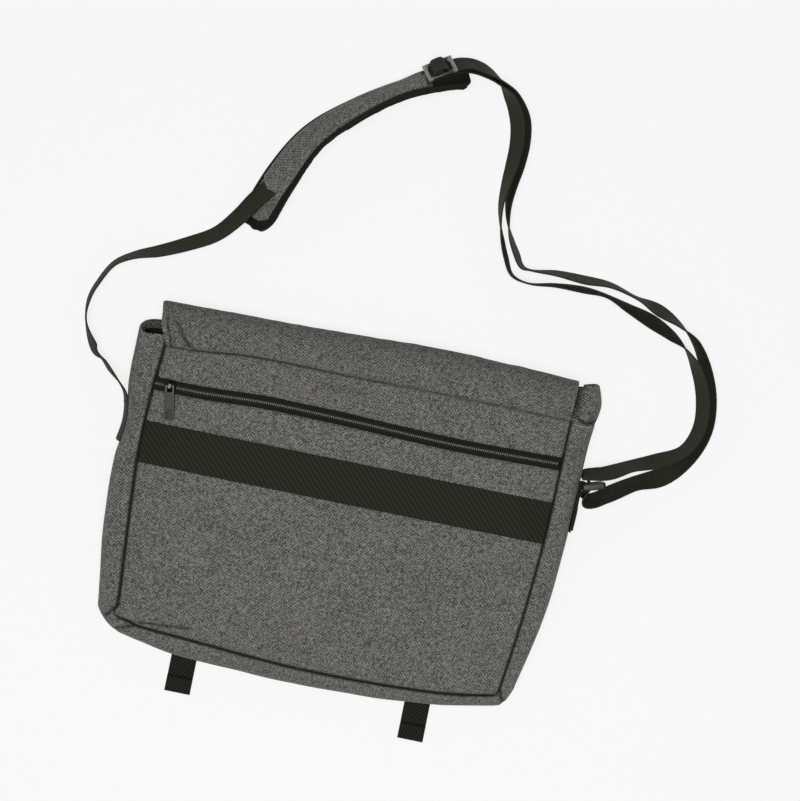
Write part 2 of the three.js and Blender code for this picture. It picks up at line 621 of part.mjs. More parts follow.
function shoulderStrap() {
  const gussetX = (y) => side("leftOut", y) - 2 * CLEARANCE - WEBBING / 2;
  const sewn = [LEFT_SEWN.low, mix(LEFT_SEWN.low, LEFT_SEWN.high, 0.5), LEFT_SEWN.high].map((y) => {
    return strapRow(new THREE.Vector3(gussetX(y), y, LEFT_SEWN.z), UP);
  });
  const laid = LEFT_ROUTE.map((row, i) => {
    const z = row.lift + edgeHeight(STRAP_WIDTH, WEBBING, row.tilt);
    return strapRow(new THREE.Vector3(row.x, row.y, z), tilted(headingAt(LEFT_ROUTE, i), row.tilt));
  });
  const rise = PAD.thickness / 2 + SLEEVE.room + WEBBING / 2;
  const inSleeve = sleeveShares.map((share) => onPad(share, rise));
  const overBar = GLIDE_WEAVE.map(({ along, above }) => onGlide(along, above));
  const outer = strandRows("outer");
  const inner = strandRows("inner");
  const strapRows = [...sewn, ...laid, ...inSleeve, ...overBar];
  add("strap_left", ribbon(strapRows, RIBBON_STEPS.strap, strapSection), BLACK_WEBBING);

  const throughRing = (turn) => turn.map(({ x, y, lean }) => onRing(x, y, lean));
  const weaveEnd = GLIDE_WEAVE[GLIDE_WEAVE.length - 1];
  const start = GLIDE_LEAVE.map((gap) => onGlide(weaveEnd.along + gap, weaveEnd.above));
  const outerRows = [...start, ...outer, ...throughRing(OUTER_TURN)];
  add("strap_outer", ribbon(outerRows, RIBBON_STEPS.strands, strapSection), BLACK_WEBBING);
  const sewnEnd = GLIDE_LOOP.map(({ along, above }) => onGlide(along, above));
  const innerRows = [...sewnEnd, ...inner, ...throughRing(INNER_TURN)];
  add("strap_inner", ribbon(innerRows, RIBBON_STEPS.strands, strapSection), BLACK_WEBBING);
}

// Rectangle with round corners
function roundedShape(width, height, corner, steps = 2) {
  const corners = [[1, -1], [1, 1], [-1, 1], [-1, -1]];
  const points = corners.flatMap(([sideX, sideY], quarter) => evenly(steps).map((f) => {
    const angle = (quarter - 1 + f) * Math.PI / 2;
    const x = sideX * (width / 2 - corner) + corner * Math.cos(angle);
    const y = sideY * (height / 2 - corner) + corner * Math.sin(angle);
    return new THREE.Vector2(x, y);
  }));
  return new THREE.Shape(points);
}

// Plate of an outline, centred on its own thickness
function plate(shape, thickness) {
  const geometry = new THREE.ExtrudeGeometry(shape, { depth: thickness, bevelEnabled: false });
  return geometry.translate(0, 0, -thickness / 2);
}

// A closed geometry as a solid that can be joined and cut, and back again
function asSolid(geometry) {
  geometry.deleteAttribute("normal");
  geometry.deleteAttribute("uv");
  const merged = mergeVertices(geometry, 1e-4);
  return new wasm.Manifold(new wasm.Mesh({
    numProp: 3,
    vertProperties: new Float32Array(merged.attributes.position.array),
    triVerts: new Uint32Array(merged.index.array),
  }));
}

function asGeometry(solidPiece) {
  const result = solidPiece.getMesh();
  const geometry = new THREE.BufferGeometry();
  geometry.setAttribute("position", new THREE.BufferAttribute(new Float32Array(result.vertProperties), 3));
  geometry.setIndex(new THREE.BufferAttribute(new Uint32Array(result.triVerts), 1));
  geometry.computeVertexNormals();
  return geometry;
}

// Plate with box openings cut right through it
function slottedPlate(shape, thickness, openings) {
  const whole = asSolid(plate(shape, thickness));
  return asGeometry(openings.reduce((left, { x, y, width, height }) => {
    return left.subtract(asSolid(new THREE.BoxGeometry(width, height, 2 * thickness).translate(x, y, 0)));
  }, whole));
}

function strapSlider() {
  const frame = GLIDE_FRAME;
  const slot = (frame.length - 3 * frame.bar) / 2;
  const offset = (frame.bar + slot) / 2;
  const openings = [-offset, offset].map((x) => ({ x, y: 0, width: slot, height: frame.slotWidth }));
  const outline = roundedShape(frame.length, frame.width, frame.corner);
  const mesh = add("strap_slider", slottedPlate(outline, frame.thickness, openings), GREY_PLASTIC);
  mesh.matrixAutoUpdate = false;
  mesh.matrix.makeBasis(glideHeading, glideWidth.clone().negate(), glideFace);
  mesh.matrix.setPosition(GLIDE.x, GLIDE.y, GLIDE.z);
}

// Place in the ring's own frame, in the plane that the strap turns in, with its upper edge leaning
function onRing(x, y, lean = 0) {
  const place = new THREE.Vector3(x, y, 0).applyAxisAngle(UP, RING.turn * TURN);
  const width = new THREE.Vector3(0, -Math.sin(lean * TURN), Math.cos(lean * TURN));
  const middle = new THREE.Vector3(RING.x, RING.y, RING.z);
  return strapRow(place.add(middle), width.applyAxisAngle(UP, RING.turn * TURN));
}

function strapRing() {
  const shape = roundedShape(RING.width, RING.height, RING.corner);
  const inside = (size) => size - 2 * RING.bar;
  const opening = { x: 0, y: 0, width: inside(RING.width), height: inside(RING.height) };
  const mesh = add("strap_ring", slottedPlate(shape, RING.depth, [opening]), GREY_PLASTIC);
  mesh.position.set(RING.x, RING.y, RING.z);
  mesh.rotation.set(Math.PI / 2, RING.turn * TURN, 0);
}

// Webbing tab: sewn to the gusset, up behind the ring's bar, round it, and back down on itself
function ringTab() {
  const layer = WEBBING + CLEARANCE;
  const face = (y, layers) => side("rightOut", y) + CLEARANCE + WEBBING / 2 + layers * layer;
  const barX = (RING.bar - RING.width) / 2;
  const middle = mix(TAB.low, TAB.high, 0.5);
  const sewnRow = (y, layers) => strapRow(new THREE.Vector3(face(y, layers), y, RING.z), UP);
  const rows = [
    ...[TAB.low, middle, TAB.high].map((y) => sewnRow(y, 0)),
    ...TAB_TURN.map(({ x, y }) => onRing(barX + x, y)),
    ...[TAB.high, middle, TAB.foldedLow].map((y) => sewnRow(y, 1)),
  ];
  const section = () => rectangle(TAB.width, WEBBING);
  add("ring_tab", ribbon(rows, RIBBON_STEPS.tab, section), BLACK_WEBBING);
}

// Strip along the zip between two distances from its middle line, at a height over the panel
function zipStrip(name, from, to, rise, thickness) {
  const grid = panelGrid((x) => zipY(x) + from, (x) => zipY(x) + to, PANEL_STEPS.across, 1, rise);
  add(name, wall(grid, thickness), ZIP_BLACK);
}

function zip() {
  const tapeRise = -CLOTH - CLEARANCE;
  const meet = CLEARANCE / 2;
  const half = ZIP_COIL.width / 2;
  zipStrip("zip_tape_lower", -ZIP_TAPE.reach, -meet, tapeRise, ZIP_TAPE.thickness);
  zipStrip("zip_tape_upper", meet, ZIP_TAPE.reach, tapeRise, ZIP_TAPE.thickness);
  zipStrip("zip_coil", -half, half, ZIP_COIL.rise, ZIP_COIL.height);
}

const sliderY = zipY(SLIDER.x);
const sliderBase = panelZ(SLIDER.x, sliderY) + ZIP_COIL.rise + 2 * CLEARANCE;
const barZ = sliderBase + SLIDER.height + PULL_PLACE.barHeight;
const pullBar = new THREE.Vector3(SLIDER.x, sliderY, barZ);

function zipSlider() {
  const body = roundedShape(SLIDER.length, SLIDER.width, SLIDER.corner);
  const bodyPlate = plate(body, SLIDER.height).translate(0, 0, SLIDER.height / 2);
  const { rise, bar, chamfer, sunk } = SLIDER_ARCH;
  const span = SLIDER_ARCH.span / 2;
  const arch = new THREE.Shape();
  arch.moveTo(-span, -sunk);
  arch.lineTo(-span, rise - chamfer);
  arch.lineTo(-span + chamfer, rise);
  arch.lineTo(span - chamfer, rise);
  arch.lineTo(span, rise - chamfer);
  arch.lineTo(span, -sunk);
  arch.lineTo(span - bar, -sunk);
  arch.lineTo(span - bar, rise - bar);
  arch.lineTo(-span + bar, rise - bar);
  arch.lineTo(-span + bar, -sunk);
  const archPlate = plate(arch, SLIDER_ARCH.width).rotateX(Math.PI / 2).rotateZ(Math.PI / 2);
  archPlate.translate(0, 0, SLIDER.height);
  const mesh = add("zip_slider", asGeometry(asSolid(bodyPlate).add(asSolid(archPlate))), SLIDER_METAL);
  mesh.position.set(SLIDER.x, sliderY, sliderBase);
}

// Pull tab: a loop whose top bar lies under the slider's arch, and a plate down to the tip
function zipPull() {
  const half = PULL.width / 2;
  const loop = PULL.loopWidth / 2;
  const bar = PULL.thickness / 2;
  const shoulder = -bar - PULL_EYE.length - PULL.chamfer;
  const tip = -PULL.length;
  const shape = new THREE.Shape();
  shape.moveTo(-loop, bar);
  shape.lineTo(-loop, shoulder);
  shape.lineTo(-half, shoulder - PULL.taper);
  shape.lineTo(-half, tip + PULL.chamfer);
  shape.lineTo(-half + PULL.chamfer, tip);
  shape.lineTo(half - PULL.chamfer, tip);
  shape.lineTo(half, tip + PULL.chamfer);
  shape.lineTo(half, shoulder - PULL.taper);
  shape.lineTo(loop, shoulder);
  shape.lineTo(loop, bar);
  const eye = { x: 0, y: -bar - PULL_EYE.length / 2, width: PULL_EYE.width, height: PULL_EYE.length };
  const slot = { x: 0, y: tip + PULL_SLOT.fromTip, width: PULL_SLOT.width, height: PULL_SLOT.height };
  const mesh = add("zip_pull", slottedPlate(shape, PULL.thickness, [eye, slot]), SLIDER_METAL);
  mesh.position.copy(pullBar);
  mesh.rotation.order = "ZXY";
  mesh.rotation.set(PULL_PLACE.dip * TURN, 0, PULL_PLACE.turn * TURN);
}

function luggageBand() {
  const rise = CLEARANCE + WEBBING;
  const grid = panelGrid(() => BAND.low, () => BAND.high, PANEL_STEPS.band, 1, rise);
  add("luggage_band", wall(grid, WEBBING), BLACK_WEBBING);
}

// Closure strap lying on the floor, lifted where it passes through its clasp
function closureStrap({ side: name, x }) {
  const base = WEBBING / 2;
  const lifted = CLASP.wall + CLEARANCE + WEBBING / 2;
  const near = CLASP.length / 2 + CLASP.level;
  const points = [
    [CLOSURE.top, base],
    [CLASP.y + near + CLASP.ramp, base],
    [CLASP.y + near, lifted],
    [CLASP.y - near, lifted],
    [CLASP.y - near - CLASP.ramp, base],
    [CLOSURE.end, base],
  ];
  const half = CLOSURE_WIDTH / 2;
  const rings = points.map(([y, z]) => [
    new THREE.Vector3(x - half, y, z - base),
    new THREE.Vector3(x + half, y, z - base),
    new THREE.Vector3(x + half, y, z + base),
    new THREE.Vector3(x - half, y, z + base),
  ]);
  add(`closure_strap_${name}`, tube(rings), BLACK_WEBBING);
}

function closureClasp({ side: name, x }) {
  const width = CLOSURE_WIDTH + 2 * (CLEARANCE + CLASP.side);
  const height = 2 * CLASP.wall + CLASP.slot;
  const shape = roundedShape(width, height, CLASP.corner);
  const opening = { x: 0, y: 0, width: CLOSURE_WIDTH + 2 * CLEARANCE, height: CLASP.slot };
  const mesh = add(`closure_clasp_${name}`, slottedPlate(shape, CLASP.length, [opening]), GREY_PLASTIC);
  mesh.position.set(x, CLASP.y, height / 2);
  mesh.rotation.set(Math.PI / 2, 0, 0);
}

frontPanel();
gussets();
backPanels();
zip();
zipSlider();
zipPull();
luggageBand();
flap();
CLOSURES.forEach(closureStrap);
CLOSURES.forEach(closureClasp);
shoulderPad();
padSleeve();
shoulderStrap();
strapSlider();
ringTab();
strapRing();

export default bag;
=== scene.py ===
# A grey heather laptop bag lying on its front: a zipped back panel with a luggage band, gussets, a
# folded flap with two closure straps, and a shoulder strap with a pad laid out above it.
import math

import bpy
import numpy as np
from mathutils import Matrix, Vector, noise


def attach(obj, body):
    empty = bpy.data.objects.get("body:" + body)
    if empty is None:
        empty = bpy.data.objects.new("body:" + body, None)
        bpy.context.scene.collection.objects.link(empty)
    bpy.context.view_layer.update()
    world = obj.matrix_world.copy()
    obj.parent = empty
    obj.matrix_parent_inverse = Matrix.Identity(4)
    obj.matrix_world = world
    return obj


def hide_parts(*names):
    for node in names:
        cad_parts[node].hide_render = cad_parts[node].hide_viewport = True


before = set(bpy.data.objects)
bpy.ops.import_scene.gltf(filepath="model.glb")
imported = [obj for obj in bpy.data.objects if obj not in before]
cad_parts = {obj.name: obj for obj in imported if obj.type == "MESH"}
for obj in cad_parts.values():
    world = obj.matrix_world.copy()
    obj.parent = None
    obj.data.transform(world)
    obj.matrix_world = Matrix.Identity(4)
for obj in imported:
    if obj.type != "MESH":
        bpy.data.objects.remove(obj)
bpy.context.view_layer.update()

# Studio: a white light table, a broad soft light over it, and a camera 2 m up that looks straight
# down. The bag lies 11.5 degrees askew in the picture, so the camera is turned by that.
MM = 0.001
CAMERA_PLACE = (36.94 * MM, 111.28 * MM, 2000 * MM)
CAMERA_TURN = 11.5
FLOOR_SEEN = 778.4  # mm of floor from side to side of the picture
FLOOR_DROP = 0.3
SENSOR = 36
LIGHT = {"place": (0.0, -0.15, 2.6), "size": 1.4, "power": 42, "all_round": 0.22}


def linear(code):
    """Linear colour of an sRGB hex value."""
    parts = [int(code[i:i + 2], 16) / 255 for i in (1, 3, 5)]
    return [p / 12.92 if p <= 0.04045 else ((p + 0.055) / 1.055) ** 2.4 for p in parts] + [1.0]


def new_material(name, finish):
    """A material with one Principled shader, whose uniform finish is set on its own sockets."""
    material = bpy.data.materials.new(name)
    material.use_nodes = True
    shader = material.node_tree.nodes["Principled BSDF"]
    for socket, value in finish.items():
        shader.inputs[socket].default_value = value
    return material, shader.inputs


camera_data = bpy.data.cameras.new("camera")
camera = bpy.data.objects.new("camera", camera_data)
bpy.context.scene.collection.objects.link(camera)
camera_data.sensor_width = SENSOR
camera_data.sensor_fit = "HORIZONTAL"
camera_data.lens = SENSOR * CAMERA_PLACE[2] / (FLOOR_SEEN * MM)
camera.location = CAMERA_PLACE
camera.rotation_euler = (0, 0, math.radians(CAMERA_TURN))
bpy.context.scene.camera = camera

# Opal acrylic, matt and lit from below, so hardly a shadow shows on it
light_table, _ = new_material(
    "opal_acrylic", {"Base Color": linear("#7a7a7a"), "Roughness": 0.9, "Specular IOR Level": 0.0,
    "Emission Color": linear("#ffffff"), "Emission Strength": 0.787})
bpy.ops.object.select_all(action="DESELECT")
bpy.ops.mesh.primitive_plane_add(size=8)
floor = bpy.context.object
floor.name = "floor"
floor.data.transform(Matrix.Translation((0, 0, -FLOOR_DROP * MM)))
floor.data.materials.append(light_table)

bpy.ops.object.light_add(type="AREA", location=LIGHT["place"])
key_light = bpy.context.object.data
key_light.shape = "DISK"
key_light.size = LIGHT["size"]
key_light.energy = LIGHT["power"]
world = bpy.data.worlds.new("studio")
bpy.context.scene.world = world
world.use_nodes = True
all_round = world.node_tree.nodes["Background"].inputs
all_round["Color"].default_value = linear("#ffffff")
all_round["Strength"].default_value = LIGHT["all_round"]
bpy.context.scene.view_settings.view_transform = "Standard"

# Back panel: two pieces of heather cloth, one under and one over the zip, turned in along the zip and
# sewn into the gusset, which pulls their edges down into a groove.
CLOTH = 2
CROWN = 6
PANEL_TOP = 136
SEAM = {"depth": 6.0, "width": 1.0, "shade_left": 1.8, "shade_bottom": 1.45, "shade_right": 1.2}
ZIP_HEM = {"depth": 1.6, "width": 1.3}
ZIP_WINDOW = 12.4
SIDES = np.array([
    # y, left seam, left side, right seam, right side, height of the edge
    (-156, -191.5, -196, 181, 191, 41),
    (-140, -191.2, -207.5, 184.5, 198.5, 43.5),
    (-133, -187.9, -208.7, 185.5, 200.2, 44.4),
    (-70, -191.5, -217, 192, 213, 50.5),
    (5, -196.2, -220.5, 197.4, 219.4, 53),
    (40, -196.4, -217, 198.5, 221, 52.7),
    (78, -195.2, -221.7, 199.4, 221.9, 51.2),
    (122, -192.5, -223, 200.5, 225.2, 47),
    (142, -194, -222, 203.5, 227, 43),
    (163, -196, -218, 204.5, 220, 39),
])
LEFT_SEAM, LEFT_OUT, RIGHT_SEAM, RIGHT_OUT, EDGE = range(1, 6)
BOTTOM = np.array([
    # x, seam, outside
    (-201.5, -139, -150),
    (-188, -144.2, -159),
    (-175, -146.5, -162.4),
    (-165, -149.2, -164.6),
    (-125, -152, -171),
    (0, -159, -176),
    (125, -155, -168.5),
    (191, -145, -156),
])
BOTTOM_SEAM, BOTTOM_OUT = 1, 2
FLAP_SEAM = {
    "depth": 2.4, "width": 0.9, "shade": 0.75,
    "line": np.array([
        (-192, 118), (-166, 118.6), (-120, 123.3), (-77, 124.6), (-18, 124.2), (56, 125.2), (104, 125),
        (202, 124.2)]),
}
FLAP_PULL = {
    "left": 0.95, "right": 0.35, "from": -120, "over": 250, "end": -195, "end_ease": 0.4, "end_reach": 25}
ZIP = np.array([(-196, 81.4), (-150, 81), (-86, 84), (0, 83), (97, 80.6), (199, 82.5)])
ZIP_ENDS = (-195, 199)
TAUT = {"place": (-179, 68), "reach": 45}
BACK_SLACK = ((1.5, 95, 3.7), (0.6, 34, 8.1))  # height, size and seed of each kind of swell
LOWER_FOLD = {"line": ((-166.2, -145.5), (-115.5, -141.5)), "width": 1.3, "depth": 1.2, "shade": 0.65}
UPPER_FOLD = {"line": ((-44, 113), (-7, 110.5)), "width": 1.6, "depth": 0.9, "shade": 0.25}


def smooth(table, column, at):
    """Value of a table's column between its rows, on a smooth curve through all of them."""
    rows, values = table[:, 0], table[:, column]
    at = np.clip(at, rows[0], rows[-1])
    i = np.clip(np.searchsorted(rows, at, side="right") - 1, 0, len(rows) - 2)
    before, after = np.maximum(i - 1, 0), np.minimum(i + 2, len(rows) - 1)
    span, rise = rows[i + 1] - rows[i], values[i + 1] - values[i]
    bend_in = (values[i + 1] - values[before]) / (rows[i + 1] - rows[before]) * span - rise
    bend_out = rise - (values[after] - values[i]) / (rows[after] - rows[i]) * span
    f = (at - rows[i]) / span
    return values[i] + f * rise + f * (1 - f) * ((1 - f) * bend_in + f * bend_out)


def mix(a, b, share):
    return a + (b - a) * share


def bell(distance, width):
    return np.exp(-(distance / width) ** 2)


def seam_groove(distance):
    """How far a sewn edge is pulled in, at distances from the seam."""
    return SEAM["depth"] * np.exp(-np.abs(distance) / SEAM["width"])


def seam_shade(distance, reach):
    """Shade painted into the cloth along a seam, from 0 to 1, at distances from it."""
    return np.exp(-(np.abs(distance) / reach) ** 2.2)


def crease(x, y, start, end, width):
    """1 on the line from start to end, and fading to 0 beside it and beyond its ends."""
    way = np.subtract(end, start)
    share = np.clip(((x - start[0]) * way[0] + (y - start[1]) * way[1]) / way.dot(way), 0, 1)
    return bell(np.hypot(x - start[0] - share * way[0], y - start[1] - share * way[1]), width)


def rumple(x, y, size, seed):
    """Soft unevenness of slack cloth, from -1 to 1, in swells of about that size."""
    return np.array([noise.noise(Vector((a / size, b / size, seed))) for a, b in zip(x, y)])


def slackness(x, y, swells):
    """Rise of slack cloth from swells of a height, size and seed each."""
    return sum(height * rumple(x, y, size, seed) for height, size, seed in swells)


def side_seams(y):
    return smooth(SIDES, LEFT_SEAM, y), smooth(SIDES, RIGHT_SEAM, y)


def back_height(x, y):
    """Height of the back over the floor: crowned between its seams, and a little slack."""
    left, right = side_seams(y)
    across = np.clip((2 * x - left - right) / (right - left), -1, 1)
    low = smooth(BOTTOM, BOTTOM_SEAM, x)
    along = np.clip((2 * y - low - PANEL_TOP) / (PANEL_TOP - low), -1, 1)
    crown = CROWN * (1 - across ** 4) * (1 - along ** 4)
    loose = 1 - bell(np.hypot(x - TAUT["place"][0], y - TAUT["place"][1]), TAUT["reach"])
    return smooth(SIDES, EDGE, y) + crown + loose * slackness(x, y, BACK_SLACK)


def crowded(share, ends=0.86):
    """Shares from 0 to 1 that lie closer together towards both ends."""
    return share - ends * np.sin(2 * np.pi * share) / (2 * np.pi)


def points_of(piece):
    """All points of a piece's mesh, in mm."""
    flat = np.zeros(3 * len(piece.data.vertices))
    piece.data.vertices.foreach_get("co", flat)
    return flat.reshape(-1, 3) / MM


def move_points(piece, points):
    """Moves all points of a piece's mesh to places in mm."""
    piece.data.vertices.foreach_set("co", (points * MM).ravel())
    piece.data.update()


def cloth_grid(name, material, columns, rows, place):
    """Grid of cloth whose points lie where place(s, t) says, in mm, with its flat cut as UV map.
    A fourth value of place is the shade painted into the cloth's colour at each point, from 0 to 1."""
    bpy.ops.object.select_all(action="DESELECT")
    bpy.ops.mesh.primitive_grid_add(x_subdivisions=columns, y_subdivisions=rows, size=1)
    piece = bpy.context.object
    piece.name = name
    mesh = piece.data
    mesh.materials.append(material)
    share = points_of(piece) * MM + 0.5
    points = place(share[:, 0], share[:, 1])
    painted_shade = points[:, 3] if points.shape[1] > 3 else np.zeros(len(points))
    points = points[:, :3]
    mesh.attributes.new("painted_shade", "FLOAT", "POINT").data.foreach_set("value", painted_shade)
    net = points.reshape(rows + 1, columns + 1, 3)
    steps = [np.linalg.norm(np.diff(net, axis=axis), axis=2).mean(axis=1 - axis) for axis in (1, 0)]
    u, v = [np.concatenate([[0], np.cumsum(step)]) for step in steps]
    flat = np.stack(np.meshgrid(u, v), axis=-1).reshape(-1, 2) * MM
    corners = np.zeros(len(mesh.loops), dtype=int)
    mesh.loops.foreach_get("vertex_index", corners)
    mesh.uv_layers[0].data.foreach_set("uv", flat[corners].ravel())
    move_points(piece, points)
    bpy.ops.object.shade_smooth()
    return piece


def apply_modifier(piece, kind, **settings):
    """Adds a modifier with its settings to the active piece, and applies it."""
    bpy.ops.object.modifier_add(type=kind)
    modifier = piece.modifiers[-1]
    for name, value in settings.items():
        setattr(modifier, name, value)
    bpy.ops.object.modifier_apply(modifier=modifier.name)


def thicken(piece, thickness, offset=-1, round_edge=0, inside=None):
    """Gives a sheet its thickness and, where asked, a round edge and a lining."""
    if inside:
        piece.data.materials.append(inside)
    apply_modifier(piece, "SOLIDIFY", thickness=thickness * MM, offset=offset,
                   material_offset=1 if inside else 0)
    if round_edge:
        apply_modifier(piece, "BEVEL", width=round_edge * MM, segments=2, limit_method="ANGLE",
                       angle_limit=math.radians(60))


def fit(piece, slot, *nodes, body="bag"):
    """Gives a piece its body, and hides the solids that it stands for. The slot is not used."""
    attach(piece, body)
    if nodes:
        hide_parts(*nodes)


def add_node(material, kind, feeds, to=None, **settings):
    """Adds a node with its settings, feeds it from nodes, sockets or values, and links it to a socket."""
    tree = material.node_tree
    node = tree.nodes.new(kind)
    for name, value in settings.items():
        setattr(node, name, value)
    for place, source in feeds.items():
        source = source.outputs[0] if isinstance(source, bpy.types.Node) else source
        if isinstance(source, bpy.types.NodeSocket):
            tree.links.new(source, node.inputs[place])
        else:
            node.inputs[place].default_value = source
    if to is not None:
        tree.links.new(node.outputs[0], to)
    return node


# Heather polyester in hopsack weave: pairs of dark yarns cross pairs of light ones, and each yarn is spun
# of dark and light fibres, so it is streaked along its length. Real yarns are about 0.5 mm apart and would
# not show, so they are drawn 0.8 mm apart. The dye is a little uneven over about 45 mm. Shade is painted
# into the colour in the seams, folds, tucks and creases, where the cloth is darker.
YARN = 0.8
STREAK = 2.4
CROSSING = 0.42
DYE = 45
heather, sockets = new_material("heather_polyester", {
    "Roughness": 0.93, "Specular IOR Level": 0.18, "Sheen Weight": 0.06, "Sheen Roughness": 0.5})
cut = add_node(heather, "ShaderNodeUVMap", {}, uv_map="UVMap")
streaks = []
for scale in ((1000 / YARN, 1000 / STREAK, 1), (1000 / STREAK, 1000 / YARN, 1)):
    along_yarn = add_node(heather, "ShaderNodeMapping", {"Vector": cut, "Scale": scale})
    cells = add_node(heather, "ShaderNodeTexVoronoi", {
        "Vector": along_yarn, "Scale": 1.0, "Randomness": 0.6},
        voronoi_dimensions="2D", feature="F1", distance="CHEBYCHEV")
    streaks.append(add_node(heather, "ShaderNodeSeparateColor", {0: cells.outputs["Color"]}))
over = add_node(heather, "ShaderNodeTexChecker", {"Vector": cut, "Scale": 1000 / YARN / 2}).outputs["Fac"]
yarns = add_node(heather, "ShaderNodeMix", {"Factor": over, 2: streaks[0], 3: streaks[1]}, data_type="FLOAT")
crossed = add_node(heather, "ShaderNodeMapRange", {"Value": over, 3: -CROSSING / 2, 4: CROSSING / 2})
weave = add_node(heather, "ShaderNodeMath", {0: yarns, 1: crossed}, operation="ADD")
tone = add_node(heather, "ShaderNodeValToRGB", {"Fac": weave})
tone.color_ramp.elements[0].color = linear("#393936")
tone.color_ramp.elements[1].color = linear("#92928b")
tone.color_ramp.elements.new(0.5).color = linear("#646460")
dye = add_node(heather, "ShaderNodeTexNoise", {
    "Vector": cut, "Scale": 1000 / DYE, "Detail": 2.0, "Roughness": 0.5},
    noise_dimensions="2D", normalize=True)
dye_tone = add_node(heather, "ShaderNodeMapRange", {"Value": dye, 3: 0.92, 4: 1.08})
dyed = add_node(heather, "ShaderNodeVectorMath", {0: tone, 1: dye_tone}, operation="MULTIPLY")
# Painted shade: the attribute read here darkens the cloth's colour in seams, folds, tucks and creases
painted_shade = add_node(heather, "ShaderNodeAttribute", {}, attribute_name="painted_shade").outputs["Fac"]
shade_darkening = add_node(heather, "ShaderNodeMapRange", {"Value": painted_shade, 3: 1.0, 4: 0.02})
add_node(heather, "ShaderNodeVectorMath", {0: dyed, 1: shade_darkening}, to=sockets["Base Color"], operation="MULTIPLY")
add_node(heather, "ShaderNodeBump", {
    "Height": yarns, "Strength": 0.3, "Distance": 0.25 * MM}, to=sockets["Normal"])

# Nylon lining, black and plain, which shows only as the dark of the mouth
lining, _ = new_material("nylon_lining", {
    "Base Color": linear("#1a1a18"), "Roughness": 0.7, "Specular IOR Level": 0.2})


def back_panel(low, high, dips):
    """Place function of a panel between two lines across the back, dipping as dips(x, y) says."""
    def place(s, t):
        s, t = crowded(s), crowded(t)
        x = mix(*ZIP_ENDS, s)
        for _ in range(4):
            y = mix(low(x), high(x), t)
            left, right = side_seams(y)
            x = mix(left, right, s)
        sunk, shade = dips(x, y)
        height = back_height(x, y) - seam_groove(np.minimum(x - left, right - x)) - sunk
        # Painted shade along the side seams
        shade = np.maximum(shade, seam_shade(x - left, SEAM["shade_left"]))
        shade = np.maximum(shade, seam_shade(right - x, SEAM["shade_right"]))
        return np.stack([x, y, height, shade], axis=1)
    return place


def zip_hem(x, y, side):
    """Dip of the edge that is turned in along the zip, below it (-1) or above it (1)."""
    return ZIP_HEM["depth"] * bell(y - smooth(ZIP, 1, x) - side * ZIP_WINDOW / 2, ZIP_HEM["width"])


def lower_dips(x, y):
    to_bottom = y - smooth(BOTTOM, BOTTOM_SEAM, x)
    fold = crease(x, y, *LOWER_FOLD["line"], LOWER_FOLD["width"])
    shade = np.maximum(seam_shade(to_bottom, SEAM["shade_bottom"]), LOWER_FOLD["shade"] * fold)
    return seam_groove(to_bottom) + zip_hem(x, y, -1) + LOWER_FOLD["depth"] * fold, shade


def flap_seam_shade(x, y):
    """Shade along the flap's seam, which is pulled in more on the left than on the right."""
    share = np.clip((x - FLAP_PULL["from"]) / FLAP_PULL["over"], 0, 1)
    eased = FLAP_PULL["end_ease"] * bell(x - FLAP_PULL["end"], FLAP_PULL["end_reach"])
    pull = mix(FLAP_PULL["left"], FLAP_PULL["right"], share) - eased
    return pull * seam_shade(y - smooth(FLAP_SEAM["line"], 1, x), FLAP_SEAM["shade"])


def upper_dips(x, y):
    to_flap = np.minimum(y - smooth(FLAP_SEAM["line"], 1, x), 0)
    under_flap = FLAP_SEAM["depth"] * np.exp(to_flap / FLAP_SEAM["width"])
    fold = crease(x, y, *UPPER_FOLD["line"], UPPER_FOLD["width"])
    shade = np.maximum(flap_seam_shade(x, y), UPPER_FOLD["shade"] * fold)
    return zip_hem(x, y, 1) + under_flap + UPPER_FOLD["depth"] * fold, shade


PANELS = (
    # side of the zip, rows, flat length, dips, lower line, upper line
    ("lower", 110, 0.234, lower_dips,
     lambda x: smooth(BOTTOM, BOTTOM_SEAM, x), lambda x: smooth(ZIP, 1, x) - ZIP_WINDOW / 2),
    ("upper", 40, 0.05, upper_dips,
     lambda x: smooth(ZIP, 1, x) + ZIP_WINDOW / 2, lambda x: smooth(FLAP_SEAM["line"], 1, x) + 4),
)
for side, rows, length, dips, low, high in PANELS:
    panel = cloth_grid(f"back_panel_{side}_cloth", heather, 170, rows, back_panel(low, high, dips))
    thicken(panel, CLOTH, inside=lining)
    fit(panel, "heather_cloth", f"back_panel_{side}")

# Zip of the back pocket: two woven tapes under the panel's edges and a closed nylon coil between them,
# its two rows of turns meshed with each other.
TAPE = {"reach": 11, "thickness": 1, "under": 2.4}
TOOTH = {"pitch": 2.1, "length": 1.1, "reach": 2.9, "height": 1.8}
COIL_ROWS = (
    # offset from the middle, rise, start, size, rounding: two rows of legs, and the heads that mesh
    (-1.15, 0, 0.4, (TOOTH["length"], TOOTH["reach"], TOOTH["height"]), 0.42),
    (1.15, 0, 0.4 + TOOTH["pitch"] / 2, (TOOTH["length"], TOOTH["reach"], TOOTH["height"]), 0.42),
    (-0.1, 0.8, 0.7, (0.9, 1.7, 0.9), 0.2),
)
COIL_UNDER = 0.9
UP = np.array((0.0, 0.0, 1.0))

